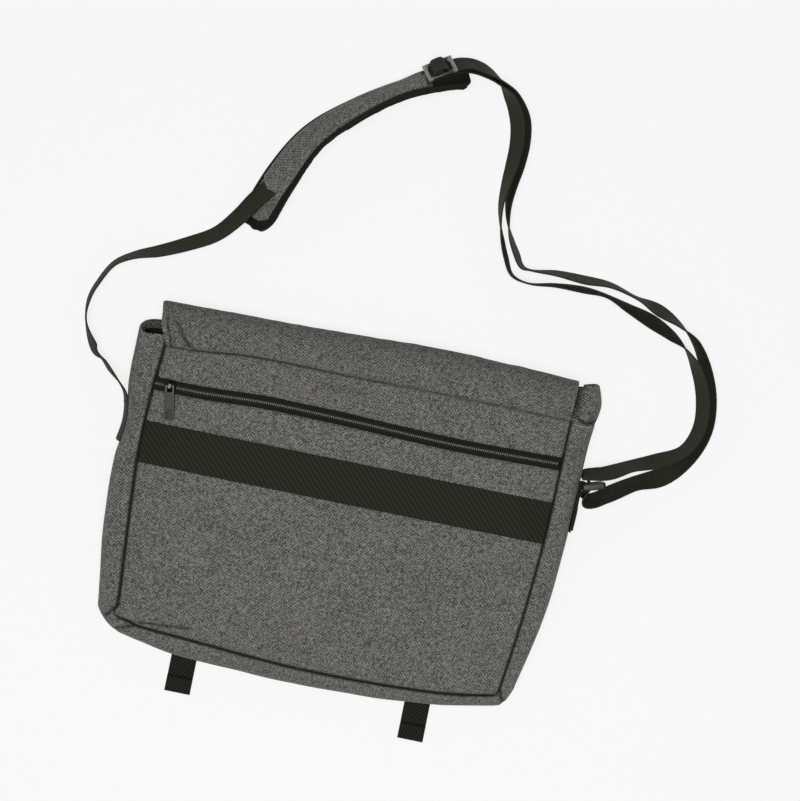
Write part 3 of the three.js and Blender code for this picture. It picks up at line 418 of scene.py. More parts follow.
# Woven polyester tape, black, with fine ribs across it, 1.4 mm apart
BANDS = 1000 / 3.1416  # scale at which a wave's bands are 1 mm apart
zip_tape, sockets = new_material("woven_zip_tape", {
    "Base Color": linear("#1b1b18"), "Roughness": 0.85, "Specular IOR Level": 0.2})
tape_cut = add_node(zip_tape, "ShaderNodeUVMap", {}, uv_map="UVMap")
tape_rib = add_node(zip_tape, "ShaderNodeTexWave", {
    "Vector": tape_cut, "Scale": BANDS / 1.4, "Distortion": 1.0}, wave_type="BANDS", bands_direction="X")
add_node(zip_tape, "ShaderNodeBump", {
    "Height": tape_rib.outputs[1], "Strength": 0.4, "Distance": 0.3 * MM}, to=sockets["Normal"])

# Nylon monofilament, black with a soft shine. The heads of the coil that mesh are painted pale, a painted
# highlight where they catch the light. Real turns are 1.5 mm apart and would not show, so they are drawn 2.1 mm
# apart.
nylon, _ = new_material("nylon_coil", {
    "Base Color": linear("#262621"), "Roughness": 0.4, "Specular IOR Level": 0.4})
highlit_nylon, _ = new_material("nylon_coil_painted_highlight", {
    "Base Color": linear("#7c7c73"), "Roughness": 0.3, "Specular IOR Level": 0.5})


def zip_strip(low, high, rise):
    """Place function of a strip along the zip, between two distances from its middle."""
    def place(s, t):
        x = mix(*ZIP_ENDS, s)
        middle = smooth(ZIP, 1, x)
        return np.stack([x, middle + mix(low, high, t), back_height(x, middle) + rise], axis=1)
    return place


for side, low, high in (("lower", -TAPE["reach"], -0.2), ("upper", 0.2, TAPE["reach"])):
    tape = cloth_grid(f"zip_tape_{side}_cloth", zip_tape, 160, 6, zip_strip(low, high, -TAPE["under"]))
    thicken(tape, TAPE["thickness"])
    fit(tape, "zip_tape", f"zip_tape_{side}")


def unit(vectors):
    return vectors / np.linalg.norm(vectors, axis=-1, keepdims=True)


def length_along(line):
    """How far along a line each of its points lies."""
    return np.concatenate([[0], np.cumsum(np.linalg.norm(np.diff(line, axis=0), axis=1))])


def between(at, places, values):
    """Points or directions at places between the given ones."""
    return np.stack([np.interp(at, places, values[:, k]) for k in range(3)], axis=-1)


def lay_along(piece, line, up):
    """Lays a straight row along a line: x along it, y to its side and z along up, all in mm."""
    x, y, z = points_of(piece).T
    way = unit(np.gradient(line, axis=0))
    beside = unit(np.cross(up, way))
    on_line, aside, above = [
        between(x, length_along(line), values) for values in (line, beside, np.cross(way, beside))]
    move_points(piece, on_line + aside * y[:, None] + above * z[:, None])


def row_of(name, size, bevel, pitch, count):
    """A straight row of small rounded blocks along x, modelled once and repeated."""
    bpy.ops.object.select_all(action="DESELECT")
    bpy.ops.mesh.primitive_cube_add(size=MM)
    piece = bpy.context.object
    piece.name = name
    bpy.ops.object.mode_set(mode="EDIT")
    bpy.ops.transform.resize(value=size)
    bpy.ops.transform.translate(value=(pitch / 2 * MM, 0, 0))
    bpy.ops.mesh.bevel(offset=bevel * MM, segments=2, affect="EDGES")
    bpy.ops.object.mode_set(mode="OBJECT")
    apply_modifier(piece, "ARRAY", count=count, use_relative_offset=False, use_constant_offset=True,
                   constant_offset_displace=(pitch * MM, 0, 0))
    bpy.ops.object.shade_smooth()
    return piece


zip_x = np.linspace(*ZIP_ENDS, 400)
zip_y = smooth(ZIP, 1, zip_x)
zip_line = np.stack([zip_x, zip_y, back_height(zip_x, zip_y) - COIL_UNDER], axis=1)
teeth = []
for i, (offset, rise, begin, size, rounding) in enumerate(COIL_ROWS):
    row = row_of(f"zip_coil_row_{i}", size, rounding, TOOTH["pitch"],
                 int((ZIP_ENDS[1] - ZIP_ENDS[0]) / TOOTH["pitch"]) - 1)
    row.data.transform(Matrix.Translation((begin * MM, offset * MM, rise * MM)))
    lay_along(row, zip_line, UP)
    # The meshing heads get the pale nylon, a painted highlight
    row.data.materials.append(highlit_nylon if rise else nylon)
    teeth.append(row)
bpy.ops.object.select_all(action="DESELECT")
for row in teeth:
    row.select_set(True)
bpy.context.view_layer.objects.active = teeth[0]
bpy.ops.object.join()
coil = bpy.context.object
coil.name = "zip_coil_turns"
fit(coil, "zip_coil", "zip_coil")

# Luggage band: one wide webbing across the back, sewn into the side seams at both ends and free
# between them, so that the bag slips over a trolley's handle.
BAND = {"low": 5, "high": 45, "over": 2.0, "thickness": 1.6, "drawn_in": 0.7}

# Polyester webbing in a diagonal twill, black, whose wales catch a little light. Real wales are about 2 mm
# apart and would not show, so they are drawn 4 mm apart.
twill, sockets = new_material("twill_webbing", {"Roughness": 0.7, "Specular IOR Level": 0.12})
band_cut = add_node(twill, "ShaderNodeUVMap", {}, uv_map="UVMap")
slant = add_node(twill, "ShaderNodeMapping", {"Vector": band_cut, "Rotation": (0, 0, math.radians(-44))})
wale = add_node(twill, "ShaderNodeTexWave", {
    "Vector": slant, "Scale": BANDS / 4.0, "Distortion": 0.6, "Detail": 1.0, "Detail Scale": 3.0},
    wave_type="BANDS", bands_direction="X")
band_tone = add_node(twill, "ShaderNodeValToRGB", {"Fac": wale.outputs[1]}, to=sockets["Base Color"])
band_tone.color_ramp.elements[0].color = linear("#1f1f17")
band_tone.color_ramp.elements[1].color = linear("#2d2e24")
add_node(twill, "ShaderNodeBump", {
    "Height": wale.outputs[1], "Strength": 0.5, "Distance": 0.4 * MM}, to=sockets["Normal"])


def band_place(s, t):
    y = mix(BAND["low"], BAND["high"], t)
    left, right = side_seams(y)
    x = mix(left, right, crowded(s))
    sunk = BAND["drawn_in"] * (seam_groove(x - left) + seam_groove(right - x))
    return np.stack([x, y, back_height(x, y) + BAND["over"] - sunk], axis=1)


band = cloth_grid("luggage_band_webbing", twill, 150, 16, band_place)
thicken(band, BAND["thickness"], round_edge=0.5)
fit(band, "black_webbing", "luggage_band")

# Gusset: one long strip of heather cloth down the left side, along the bottom and up the right side,
# slack enough to stand proud of both panels. Its right end stands up beside the flap as an ear.
FRONT = np.array([(-160, 6.6), (-106, 6.6), (-84, 4.6), (140, 4.6)])
LEFT_MOUTH, RIGHT_MOUTH = 128, 158
MOUTH_RIMS = np.array([
    # share of the way round, rise of the left rim, rise of the right rim
    (0, 0, 0), (0.2, -1.4, 0.8), (0.35, 0.4, 1.4), (0.5, 4, 2), (0.6, 7.4, 2.5), (0.7, 10.6, 2.9),
    (0.85, 13.4, 3.4), (1, 14.6, 4),
])
LEFT_RIM, RIGHT_RIM = 1, 2
GUSSET_CORNERS = {"left": (-190.5, -141.5, -201.5, -150), "right": (183, -146, 191, -156)}
EAR_FOLD = {"y": 124.5, "depth": 4.5, "above": 4.5, "below": 0.9}
EAR_RISE = 5
EAR_TUCK = {"from": 123, "over": 7, "in": 5.5, "down": 2.5, "curl": 9, "reach": 4.5}
EAR_LENS = {"above": 0.8, "bow": 4.3, "middle": 214.7, "half": 9.7, "width": 1.9}
RIM_SHADE = {"depth": 0.55, "reach": 0.06, "column": 22, "over": 4}
UPPER_HALF = 24
TURNED_IN = {"edge": 6.6, "fold": 9}
GUSSET_ROWS = {"left": 130, "bottom": 140, "right": 190}
GUSSET_COLUMNS = 40
GUSSET_SWELLS = ((1.1, 42, 1.3),)
GUSSET_PUCKERS = ((0.7, 13, 6.2),)
GUSSET_TUCKS = (
    # start, end, depth and width of the tucks where the corners gather
    ((-190.4, -136.5), (-199, -147), 3.0, 1.5),
    ((-167, -148.5), (-186.5, -157), 2.8, 1.6),
    ((185, -141), (191, -153), 2.2, 1.8),
)


def gusset_arches(seam, out, rim, near_mouth, fold=0.0, ear=0.0):
    """Rows of points over the gusset, from the back seam out and round to the front seam."""
    f = crowded(np.linspace(0, 1, GUSSET_COLUMNS + 1), 0.8)[None, :]
    reach = np.sin(np.pi * f) ** 0.85
    share = np.where(f > 0.5, mix(0.25, 1, reach), reach)
    x = mix(seam[0][:, None], out[0][:, None], share)
    y = mix(seam[1][:, None], out[1][:, None], share)
    y = y + near_mouth[:, None] * (smooth(MOUTH_RIMS, rim, f) + ear * EAR_RISE * (reach - 0.4 * reach ** 10))
    top = (back_height(*seam) - fold)[:, None]
    low = smooth(FRONT, 1, y)
    z = (top + low) / 2 + np.cos(np.pi * f) * (top - low) / 2
    return np.stack([x, y, z], axis=2)


def gusset_rows():
    """All rows of the gusset, with the bottom corners rounded."""
    q = np.linspace(0, 1, GUSSET_ROWS["left"])
    _, seam_y, _, out_y = GUSSET_CORNERS["left"]
    y, y_out = mix(LEFT_MOUTH, seam_y, q), mix(LEFT_MOUTH, out_y, q)
    left = gusset_arches(
        (smooth(SIDES, LEFT_SEAM, y), y), (smooth(SIDES, LEFT_OUT, y_out), y_out), LEFT_RIM, (1 - q) ** 8)
    q = np.linspace(0.008, 0.992, GUSSET_ROWS["bottom"])
    x, _, x_out, _ = [mix(a, b, q) for a, b in zip(GUSSET_CORNERS["left"], GUSSET_CORNERS["right"])]
    bottom = gusset_arches(
        (x, smooth(BOTTOM, BOTTOM_SEAM, x)), (x_out, smooth(BOTTOM, BOTTOM_OUT, x_out)), LEFT_RIM, 0 * q)
    q = np.linspace(1, 0, GUSSET_ROWS["right"])
    _, seam_y, _, out_y = GUSSET_CORNERS["right"]
    y, y_out = mix(RIGHT_MOUTH, seam_y, q), mix(RIGHT_MOUTH, out_y, q)
    past = y - EAR_FOLD["y"]
    fold = EAR_FOLD["depth"] * np.exp(
        -np.where(past > 0, past / EAR_FOLD["above"], -past / EAR_FOLD["below"]))
    right = gusset_arches(
        (smooth(SIDES, RIGHT_SEAM, y), y), (smooth(SIDES, RIGHT_OUT, y_out) - fold / 9, y_out), RIGHT_RIM,
        (1 - q) ** 6, fold, 1.0)
    net = np.concatenate([left, bottom, right])
    row = np.arange(len(net))
    soft = net.copy()
    for _ in range(6):
        soft[1:-1] = 0.5 * soft[1:-1] + 0.25 * (soft[:-2] + soft[2:])
    near = np.maximum(bell(row - GUSSET_ROWS["left"], 5), bell(row - len(net) + GUSSET_ROWS["right"], 7))
    return mix(net, soft, near[:, None, None])


def gusset_net():
    """The gusset's rows with slack, tucks, seams and ear, and the shade painted into the cloth at each point.
    """
    net = gusset_rows()
    row = np.arange(len(net))[:, None]
    along = np.gradient(net, axis=0)
    outward = np.cross(np.gradient(net, axis=1), along)
    outward /= np.linalg.norm(outward, axis=2)[:, :, None] + 1e-9
    steps = np.linalg.norm(np.diff(net, axis=1), axis=2)
    from_seam = np.concatenate([np.zeros((len(net), 1)), np.cumsum(steps, axis=1)], axis=1)
    length = np.cumsum(np.linalg.norm(along[:, 0], axis=1))[:, None] + 0 * from_seam
    swell = slackness(length.ravel(), from_seam.ravel(), GUSSET_SWELLS).reshape(length.shape)
    pucker = slackness(length.ravel(), 0 * length.ravel(), GUSSET_PUCKERS).reshape(length.shape)
    net += outward * (swell * (1 - bell(from_seam, 5)) + pucker * bell(from_seam - 7, 6))[:, :, None]
    # Painted shade: darker along the seams, in the tucks, in the gap and fold at the ear's base, and inside the
    # left mouth's rim
    reach = [SEAM[f"shade_{side}"] for side in GUSSET_ROWS]
    shade = seam_shade(from_seam, np.repeat(reach, list(GUSSET_ROWS.values()))[:, None])
    for start, end, depth, width in GUSSET_TUCKS:
        tuck = crease(net[:, :, 0], net[:, :, 1], start, end, width) * (net[:, :, 2] > UPPER_HALF)
        net -= outward * depth * tuck[:, :, None]
        shade = np.maximum(shade, 0.85 * tuck)
    net[:, :, 2] -= seam_groove(from_seam)
    on_ear = net[:, :1, 1] * (row > len(net) - GUSSET_ROWS["right"])
    tucked = np.clip((on_ear - EAR_TUCK["from"]) / EAR_TUCK["over"], 0, 1)
    under = tucked * np.exp(-(from_seam / EAR_TUCK["reach"]) ** 1.5)
    gap = tucked * bell(from_seam, 1.15 * EAR_TUCK["reach"])
    top_share = np.clip((on_ear - EAR_TUCK["from"]) / (RIGHT_MOUTH - EAR_TUCK["from"]), 0, 1)
    net[:, :, 0] -= EAR_TUCK["in"] * under
    net[:, :, 2] -= under * (EAR_TUCK["down"] + EAR_TUCK["curl"] * top_share ** 2)
    off_middle = (net[:, :, 0] - EAR_LENS["middle"]) / EAR_LENS["half"]
    lens = EAR_FOLD["y"] + EAR_LENS["above"] + EAR_LENS["bow"] * off_middle ** 2
    in_lens = bell(net[:, :, 1] - lens, EAR_LENS["width"]) * (on_ear > 0) * (net[:, :, 2] > UPPER_HALF)
    shade = np.maximum(shade, np.maximum(0.85 * gap, 0.9 * in_lens * np.clip(from_seam / 4, 0, 1)))
    at_rim = np.clip(1 - row / GUSSET_ROWS["left"] / RIM_SHADE["reach"], 0, 1)
    low_side = np.clip((np.arange(GUSSET_COLUMNS + 1) - RIM_SHADE["column"]) / RIM_SHADE["over"], 0, 1)
    shade = np.maximum(shade, RIM_SHADE["depth"] * at_rim * low_side)
    return np.concatenate([net, shade[:, :, None]], axis=2)


gusset_points = gusset_net()
gusset = cloth_grid("gusset_cloth", heather, GUSSET_COLUMNS, len(gusset_points) - 1,
                    lambda s, t: gusset_points.reshape(-1, 4))
thicken(gusset, CLOTH, round_edge=0.6, inside=lining)
gusset_cut = gusset.data.uv_layers[0].data
gusset_width, gusset_length = [max(corner.uv[k] for corner in gusset_cut) for k in (0, 1)]
for face in gusset.data.polygons:
    across, from_end = gusset_cut[face.loop_start].uv
    turned_in = TURNED_IN["edge"] + TURNED_IN["fold"] * bell(across / gusset_width - 0.5, 0.13)
    if min(from_end, gusset_length - from_end) < turned_in * MM:
        face.material_index = 0
fit(gusset, "heather_cloth", "side_gusset_left", "bottom_gusset", "side_gusset_right")

# Front panel: the hidden side of the bag, one plain piece of heather cloth sewn to the gusset.
FRONT_TOP = 137
FRONT_SEAM = {"share": 0.25, "gap": 2.2}


def front_place(s, t):
    x = mix(-200.0, 200.0, 1 - s)
    for _ in range(4):
        low = mix(smooth(BOTTOM, BOTTOM_SEAM, x), smooth(BOTTOM, BOTTOM_OUT, x), FRONT_SEAM["share"])
        y = mix(low + FRONT_SEAM["gap"], FRONT_TOP, t)
        left = mix(smooth(SIDES, LEFT_SEAM, y), smooth(SIDES, LEFT_OUT, y), FRONT_SEAM["share"])
        right = mix(smooth(SIDES, RIGHT_SEAM, y), smooth(SIDES, RIGHT_OUT, y), FRONT_SEAM["share"])
        x = mix(left + FRONT_SEAM["gap"], right - FRONT_SEAM["gap"], 1 - s)
    return np.stack([x, y, smooth(FRONT, 1, y)], axis=1)


front = cloth_grid("front_panel_cloth", heather, 90, 70, front_place)
thicken(front, CLOTH, inside=lining)
fit(front, "heather_cloth", "front_panel")

# Flap: a double layer of heather cloth sewn across the back near its top, folded over the mouth and
# lying flat under the front. Its edges are hemmed, and the hem shows as a line inside the edge.
FLAP_END_Y = -95
FOLD_REACH = 34
FOLD = np.array([(-204, 161), (-50, 163.5), (70, 168), (203, 164)])
FLAP_EDGE = {"seam": (-191.5, 199), "fold": (-204.4, 202), "bow": 2.4}
FLAP_PARTS = {"back": 0.14, "fold": 0.6}  # shares of its length up to which it lies on the back and folds
FOLD_SLACK = ((0.9, 48, 2.2), (0.6, 15, 7.2))
FLAP_SLACK = ((1.4, 55, 5.5), (0.5, 22, 2.5))
FLAP_CREASE = {"line": ((-186, 142), (-167, 118)), "width": 2.2, "depth": 2.6, "shade": 0.7}
HEM = {"inset": 5.5, "depth": 1.3, "width": 1.2, "shade": 0.75, "corner": (1.6, 0.8)}
CLOSURES = (("left", -119), ("right", 112))
OVER_STRAP = {"rise": 2, "half": 14.5, "edge": 0.6, "top": -16.5, "ramp": 0.8}


def flap_place(s, t):
    s = crowded(s, 0.8)
    seam_x, fold_x = mix(*FLAP_EDGE["seam"], s), mix(*FLAP_EDGE["fold"], s)
    inset = np.minimum(s, 1 - s) * (FLAP_EDGE["fold"][1] - FLAP_EDGE["fold"][0])
    seam_y = smooth(FLAP_SEAM["line"], 1, seam_x)
    corner = np.where(s < 0.5, *HEM["corner"])
    fold_y = smooth(FOLD, 1, fold_x) - corner * np.exp(-inset / corner)
    fold_y = fold_y + slackness(fold_x, 0 * fold_x, FOLD_SLACK)
    middle_y = np.maximum(fold_y - FOLD_REACH, seam_y + 3)
    height = back_height(seam_x, middle_y) + CLOTH + 0.4
    near = np.clip(t / FLAP_PARTS["back"], 0, 1)
    turn = np.clip((t - FLAP_PARTS["back"]) / (FLAP_PARTS["fold"] - FLAP_PARTS["back"]), 0, 1)
    flat = np.clip((t - FLAP_PARTS["fold"]) / (1 - FLAP_PARTS["fold"]), 0, 1)
    folded_y = mix(seam_y, middle_y, near) + (fold_y - middle_y) * np.sin(np.pi * turn)
    wider = np.clip((folded_y - seam_y) / (fold_y - seam_y), 0, 1)
    x = mix(seam_x, fold_x, np.maximum(wider, np.clip(5 * flat, 0, 1)))
    x = x - FLAP_EDGE["bow"] * bell(wider - 0.45, 0.22) * np.exp(-s * 25) * (flat == 0)
    y = folded_y + (FLAP_END_Y - middle_y) * flat
    on_back = np.clip(1 - 1.6 * turn, 0, 1)
    sewn = (FLAP_SEAM["depth"] + 2) * np.exp(-np.abs(y - seam_y) / (1.6 * FLAP_SEAM["width"]))
    creased = crease(x, y, *FLAP_CREASE["line"], FLAP_CREASE["width"])
    hem = bell(inset - HEM["inset"], HEM["width"])
    sunk = sewn + FLAP_CREASE["depth"] * creased + HEM["depth"] * hem
    z = height * (1 + np.cos(np.pi * turn)) / 2 + on_back * (near * slackness(x, y, FLAP_SLACK) - sunk)
    # Painted shade along the crease, the hem line and the flap's seam, where the flap lies on the back
    shade = np.maximum(FLAP_CREASE["shade"] * creased, HEM["shade"] * hem * (s < 0.5))
    shade = np.maximum(flap_seam_shade(x, y), shade) * on_back
    # More painted shade: a little over the whole flap, and more over its fold, where the cloth turns away from
    # the light
    shade = np.maximum(shade, 0.04 + 0.2 * np.clip((turn - 0.08) / 0.3, 0, 1) ** 1.5)
    over_strap = sum(
        1 / (1 + np.exp((np.abs(x - at) - OVER_STRAP["half"]) / OVER_STRAP["edge"])) for _, at in CLOSURES)
    below_top = (flat > 0) / (1 + np.exp((y - OVER_STRAP["top"]) / OVER_STRAP["ramp"]))
    z = z + OVER_STRAP["rise"] * over_strap * below_top
    return np.stack([x, y, np.maximum(z, 0), shade], axis=1)


flap = cloth_grid("flap_cloth", heather, 150, 150, flap_place)
thicken(flap, CLOTH, round_edge=0.6, inside=lining)
fit(flap, "heather_cloth", "flap")

# Closure straps: two webbings under the flap. Their tails show below the bag, with the last 16 mm
# folded back and sewn. The hidden clasps keep their solids, with softened edges.
CLOSURE = {"top": -20, "end": -210, "width": 25, "thickness": 1.6}
CLASP = {"y": -118, "reach": 8, "ramp": 10, "lift": 2.2}
TAIL = {"fold": 16, "layer": 1.7, "stitch": (2.8, 1.7, 0.6), "pitch": 3.0, "inset": 0.8}

# Polypropylene webbing, black, with ribs along it 2.5 mm apart, picks across it 1.6 mm apart, and a soft
# shine on the yarns
webbing, sockets = new_material("ribbed_webbing", {"Roughness": 0.65, "Specular IOR Level": 0.15})
strap_cut = add_node(webbing, "ShaderNodeUVMap", {}, uv_map="UVMap")
rib = add_node(webbing, "ShaderNodeTexWave", {
    "Vector": strap_cut, "Scale": BANDS / 2.5, "Distortion": 0.3}, wave_type="BANDS", bands_direction="X")
pick = add_node(webbing, "ShaderNodeTexWave", {
    "Vector": strap_cut, "Scale": BANDS / 1.6, "Distortion": 0.8}, wave_type="BANDS", bands_direction="Y")
pick_share = add_node(webbing, "ShaderNodeMapRange", {"Value": pick.outputs[1], 3: 0.62, 4: 1.0})
strap_weave = add_node(webbing, "ShaderNodeMath", {0: rib.outputs[1], 1: pick_share}, operation="MULTIPLY")
strap_tone = add_node(webbing, "ShaderNodeValToRGB", {"Fac": strap_weave}, to=sockets["Base Color"])
strap_tone.color_ramp.elements[0].color = linear("#1d1d15")
strap_tone.color_ramp.elements[1].color = linear("#3f4034")
add_node(webbing, "ShaderNodeBump", {
    "Height": strap_weave, "Strength": 0.5, "Distance": 0.35 * MM}, to=sockets["Normal"])

# Twill webbing of the closure straps, woven like the band, darker and finer. Its wales too are drawn
# coarser than real, 3 mm apart.
dark_twill = twill.copy()
dark_twill.name = "twill_webbing_dark"
dark_twill.node_tree.nodes[wale.name].inputs["Scale"].default_value = BANDS / 3.0
dark_tone = dark_twill.node_tree.nodes[band_tone.name].color_ramp
dark_tone.elements[0].color = linear("#0e0e0a")
dark_tone.elements[1].color = linear("#2b2b22")

# Sewing thread, black polyester
black_thread, _ = new_material("polyester_thread_black", {
    "Base Color": linear("#0b0b08"), "Roughness": 0.6, "Specular IOR Level": 0.1})

# Acetal, injection moulded, dark grey, with a faint grain of 0.9 mm and soft highlights on its round edges
acetal, sockets = new_material("moulded_acetal", {
    "Base Color": linear("#34342f"), "Roughness": 0.45, "Specular IOR Level": 0.35})
grain = add_node(acetal, "ShaderNodeTexNoise", {
    "Vector": add_node(acetal, "ShaderNodeTexCoord", {}).outputs["Object"],
    "Scale": 1000 / 0.9, "Detail": 2.0})
add_node(acetal, "ShaderNodeBump", {
    "Height": grain, "Strength": 0.12, "Distance": 0.2 * MM}, to=sockets["Normal"])


def through(points, steps):
    """Points on a smooth line through all the given ones, a number of steps from each to the next."""
    points = np.asarray(points, dtype=float)
    ends = np.concatenate([[2 * points[0] - points[1]], points, [2 * points[-1] - points[-2]]])
    spans = np.maximum(np.linalg.norm(np.diff(ends, axis=0), axis=1) ** 0.5, 1e-2)[:, None]
    a, b, c = spans[:-2], spans[1:-1], spans[2:]
    p0, p1, p2, p3 = ends[:-3], ends[1:-2], ends[2:-1], ends[3:]
    way_in = b * ((p1 - p0) / a - (p2 - p0) / (a + b) + (p2 - p1) / b)
    way_out = b * ((p2 - p1) / b - (p3 - p1) / (b + c) + (p3 - p2) / c)
    f = np.linspace(0, 1, steps, endpoint=False)[None, :, None]
    p1, p2, way_in, way_out = [v[:, None, :] for v in (p1, p2, way_in, way_out)]
    line = (p1 + f * way_in + f ** 2 * (3 * (p2 - p1) - 2 * way_in - way_out)
            + f ** 3 * (2 * (p1 - p2) + way_in + way_out))
    return np.concatenate([line.reshape(-1, 3), points[-1:]])


def strap_frames(rows, steps):
    """Middle line, width direction and face direction of a strap through rows of (point, width)."""
    line = through([row[0] for row in rows], steps)
    across = through([row[1] for row in rows], steps)
    way = unit(np.gradient(line, axis=0))
    across = unit(across - way * np.sum(across * way, axis=1)[:, None])
    return line, across, np.cross(across, way)


def strap(name, material, rows, width, thickness, steps, columns=16, ribs=0):
    """Webbing through rows of (point, width direction), with ribs along it."""
    line, across, above = strap_frames(rows, steps)

    def place(s, t):
        i = np.rint(t * (len(line) - 1)).astype(int)
        w = (s - 0.5) * width
        rib_rise = 0.12 * np.cos(2 * np.pi * s * ribs) if ribs else 0 * s
        return line[i] + across[i] * w[:, None] + above[i] * rib_rise[:, None]
    piece = cloth_grid(name, material, columns, len(line) - 1, place)
    thicken(piece, thickness, offset=0, round_edge=0.35)
    return piece


def stitches(name, material, line, up, size, pitch, slot):
    """A row of stitches along a line of points, in mm, standing out along up."""
    row = row_of(name, size, 0.2 * min(size), pitch, int(length_along(line)[-1] / pitch))
    lay_along(row, line, up)
    row.data.materials.append(material)
    fit(row, slot)


def finish_solid(name, material, rounding):
    """Gives a solid that is kept its material, and softens its edges by live modifiers."""
    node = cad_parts[name]
    node.data.materials.clear()
    node.data.materials.append(material)
    node.modifiers.new("weld", "WELD").merge_threshold = 0.01 * MM
    soft_edge = node.modifiers.new("soft_edge", "BEVEL")
    soft_edge.width = rounding * MM
    soft_edge.segments = 3
    soft_edge.limit_method = "ANGLE"
    soft_edge.angle_limit = math.radians(40)


for side, x in CLOSURES:
    base, lifted = CLOSURE["thickness"] / 2, CLASP["lift"] + CLOSURE["thickness"] / 2
    near, far = CLASP["reach"], CLASP["reach"] + CLASP["ramp"]
    end, turned_up = CLOSURE["end"], base + TAIL["layer"]
    tail = [
        (CLOSURE["top"], base), (-70, base), (CLASP["y"] + far, base), (CLASP["y"] + near, lifted),
        (CLASP["y"] - near, lifted), (CLASP["y"] - far, base), (-165, base), (end + 8, base),
        (end + 1.8, base), (end + 0.5, base + 0.8), (end + 1.8, turned_up), (end + 8, turned_up + 0.05),
        (end + TAIL["fold"], turned_up),
    ]
    piece = strap(f"closure_strap_{side}_webbing", dark_twill,
                  [(np.array((x, y, z)), np.array((1.0, 0, 0))) for y, z in tail],
                  CLOSURE["width"], CLOSURE["thickness"] - 0.1, 8, columns=20)
    fit(piece, "black_webbing", f"closure_strap_{side}")
    sewn_y, sewn_z = end + TAIL["fold"] - TAIL["inset"], turned_up + CLOSURE["thickness"] / 2
    across_tail = np.array([(x + w, sewn_y, sewn_z) for w in np.linspace(-12, 12, 9)])
    stitches(f"closure_strap_{side}_stitches", black_thread, across_tail, UP, TAIL["stitch"], TAIL["pitch"],
             "black_webbing")
    finish_solid(f"closure_clasp_{side}", acetal, 0.8)

# Shoulder strap: one length of webbing, sewn to the left gusset, through the pad's sleeve and over the
# strap slider, then doubled: out to the ring, round it, and back to the slider's middle bar.
STRAP = {"width": 20, "thickness": 1.6, "off_floor": 0.5}
LEFT_SEWN = {"low": 20, "high": 62, "z": 29, "off": 1.5, "lean": 17}
TACK = {"size": (2.0, 1.0, 0.4), "pitch": 2.6}
EAR_STITCH = {"y": 121, "columns": (6, 19), "size": (1.9, 0.8, 0.5), "pitch": 2.5}
LEFT_ROUTE = np.array([
    # x, y, lift, tilt
    (-232, 76, 14, 84), (-246.5, 88, 6, 76), (-255.5, 95.5, 2.5, 84), (-263.6, 103, 0, 64),
    (-276.4, 127, 0, 82), (-277.4, 148.7, 0, 74), (-271, 167.7, 0, 72), (-260, 186.7, 0, 71),
    (-242.4, 198.2, 0, 66), (-219.7, 207, 0, 53), (-193, 220, 0, 45), (-169, 234, 3, 42),
    (-150.5, 254.5, 9, 35), (-138.5, 272.5, 12, 31),
])
STRANDS = np.array([
    # x, y, lift, gap between the strands, tilt of the inner one, tilt of the outer one
    (38.5, 440.4, 13, 4, 55, 55), (52, 439.6, 9, 3.2, 58, 58), (70.5, 432.4, 5, 3, 75, 83),
    (85, 420.5, 1, 4, 114, 112), (97.2, 400.8, 0, 5.8, 130, 126), (101.4, 379.5, 0, 6, 130, 127),
    (101, 356.7, 0, 6, 125, 124), (99.2, 336.7, 0, 6.4, 113, 114), (98.8, 317, 0, 7, 101, 103),
    (101.6, 300.8, 0, 7.5, 90, 92), (107.5, 284.2, 0, 8.5, 79, 76), (114.2, 270.7, 0, 10.5, 76, 71),
    (122.9, 256.7, 0, 12.5, 80, 75), (136.4, 253.5, 0, 13, 85, 84), (161.6, 256.2, 0, 11.5, 78, 72),
    (189.2, 256.4, 0, 9.5, 70, 64), (213, 255.8, 0, 11, 78, 72), (238.3, 248.6, 0, 12.5, 62, 80),
    (263.8, 240.5, 0, 13, 46, 53), (285.6, 230.6, 0, 13, 58, 74), (302.2, 219.2, 0, 11.5, 84, 100),
    (317, 198.6, 0, 8.4, 112, 113), (328, 171, 0, 7.2, 122, 114), (330, 141.2, 0, 7, 121, 114),
    (319.4, 115.4, 0, 8.6, 118, 122), (296, 96.2, 1, 16.2, 130, 150), (269, 84.4, 8, 17.4, 118, 126),
])
INNER, OUTER = 0, 1
PAD = {"width": 40, "thickness": 8, "end_round": 16, "steps": 40}
PAD_ROUTE = np.array([
    # x, y, tilt
    (-136, 244.5, 24), (-116.5, 299.5, 28), (-94, 342, 42), (-59, 375.5, 53), (-20, 403, 60),
    (19.5, 421.6, 56), (40.6, 428.8, 50),
])
SLEEVE = {"from": 0.15, "to": 0.72, "room": 0.8}
SLIDER = {"place": (11.1, 430.8, 29), "heading": 33, "tilt": 46}
SLIDER_WEAVE = (
    (-17, -3), (-11.5, -3), (-8, -0.5), (-5, 4.6), (0, 5.4), (5, 4.6), (8, -0.5), (11.5, -3), (17, -3))
SLIDER_LOOP = (
    (1.5, 3), (-1.8, 3), (-3.9, 1.2), (-3.9, -1.2), (-1.8, -3.1), (4, -5.1), (12, -5.4), (17, -5.8))
RING = {"place": (234.2, 67.6, 29), "turn": 17, "width": 23, "height": 31, "depth": 7, "bar": 4}
OUTER_TURN = (
    (11.6, -10.3, 42), (0.5, -13.6, 42), (-8.6, -13.8, 34), (-10.2, -9.6, 14), (-4.4, -4, 0), (-3, -0.5, 0))
INNER_TURN = ((14, 10.8, 36), (3.5, 11.2, 34), (-6.5, 11.4, 26), (-9.2, 9.2, 10), (-3.6, 6.2, 0))

# Sewing thread, grey polyester, for the seams of the heather cloth
grey_thread, _ = new_material("polyester_thread_grey", {
    "Base Color": linear("#a0a098"), "Roughness": 0.6, "Specular IOR Level": 0.2})


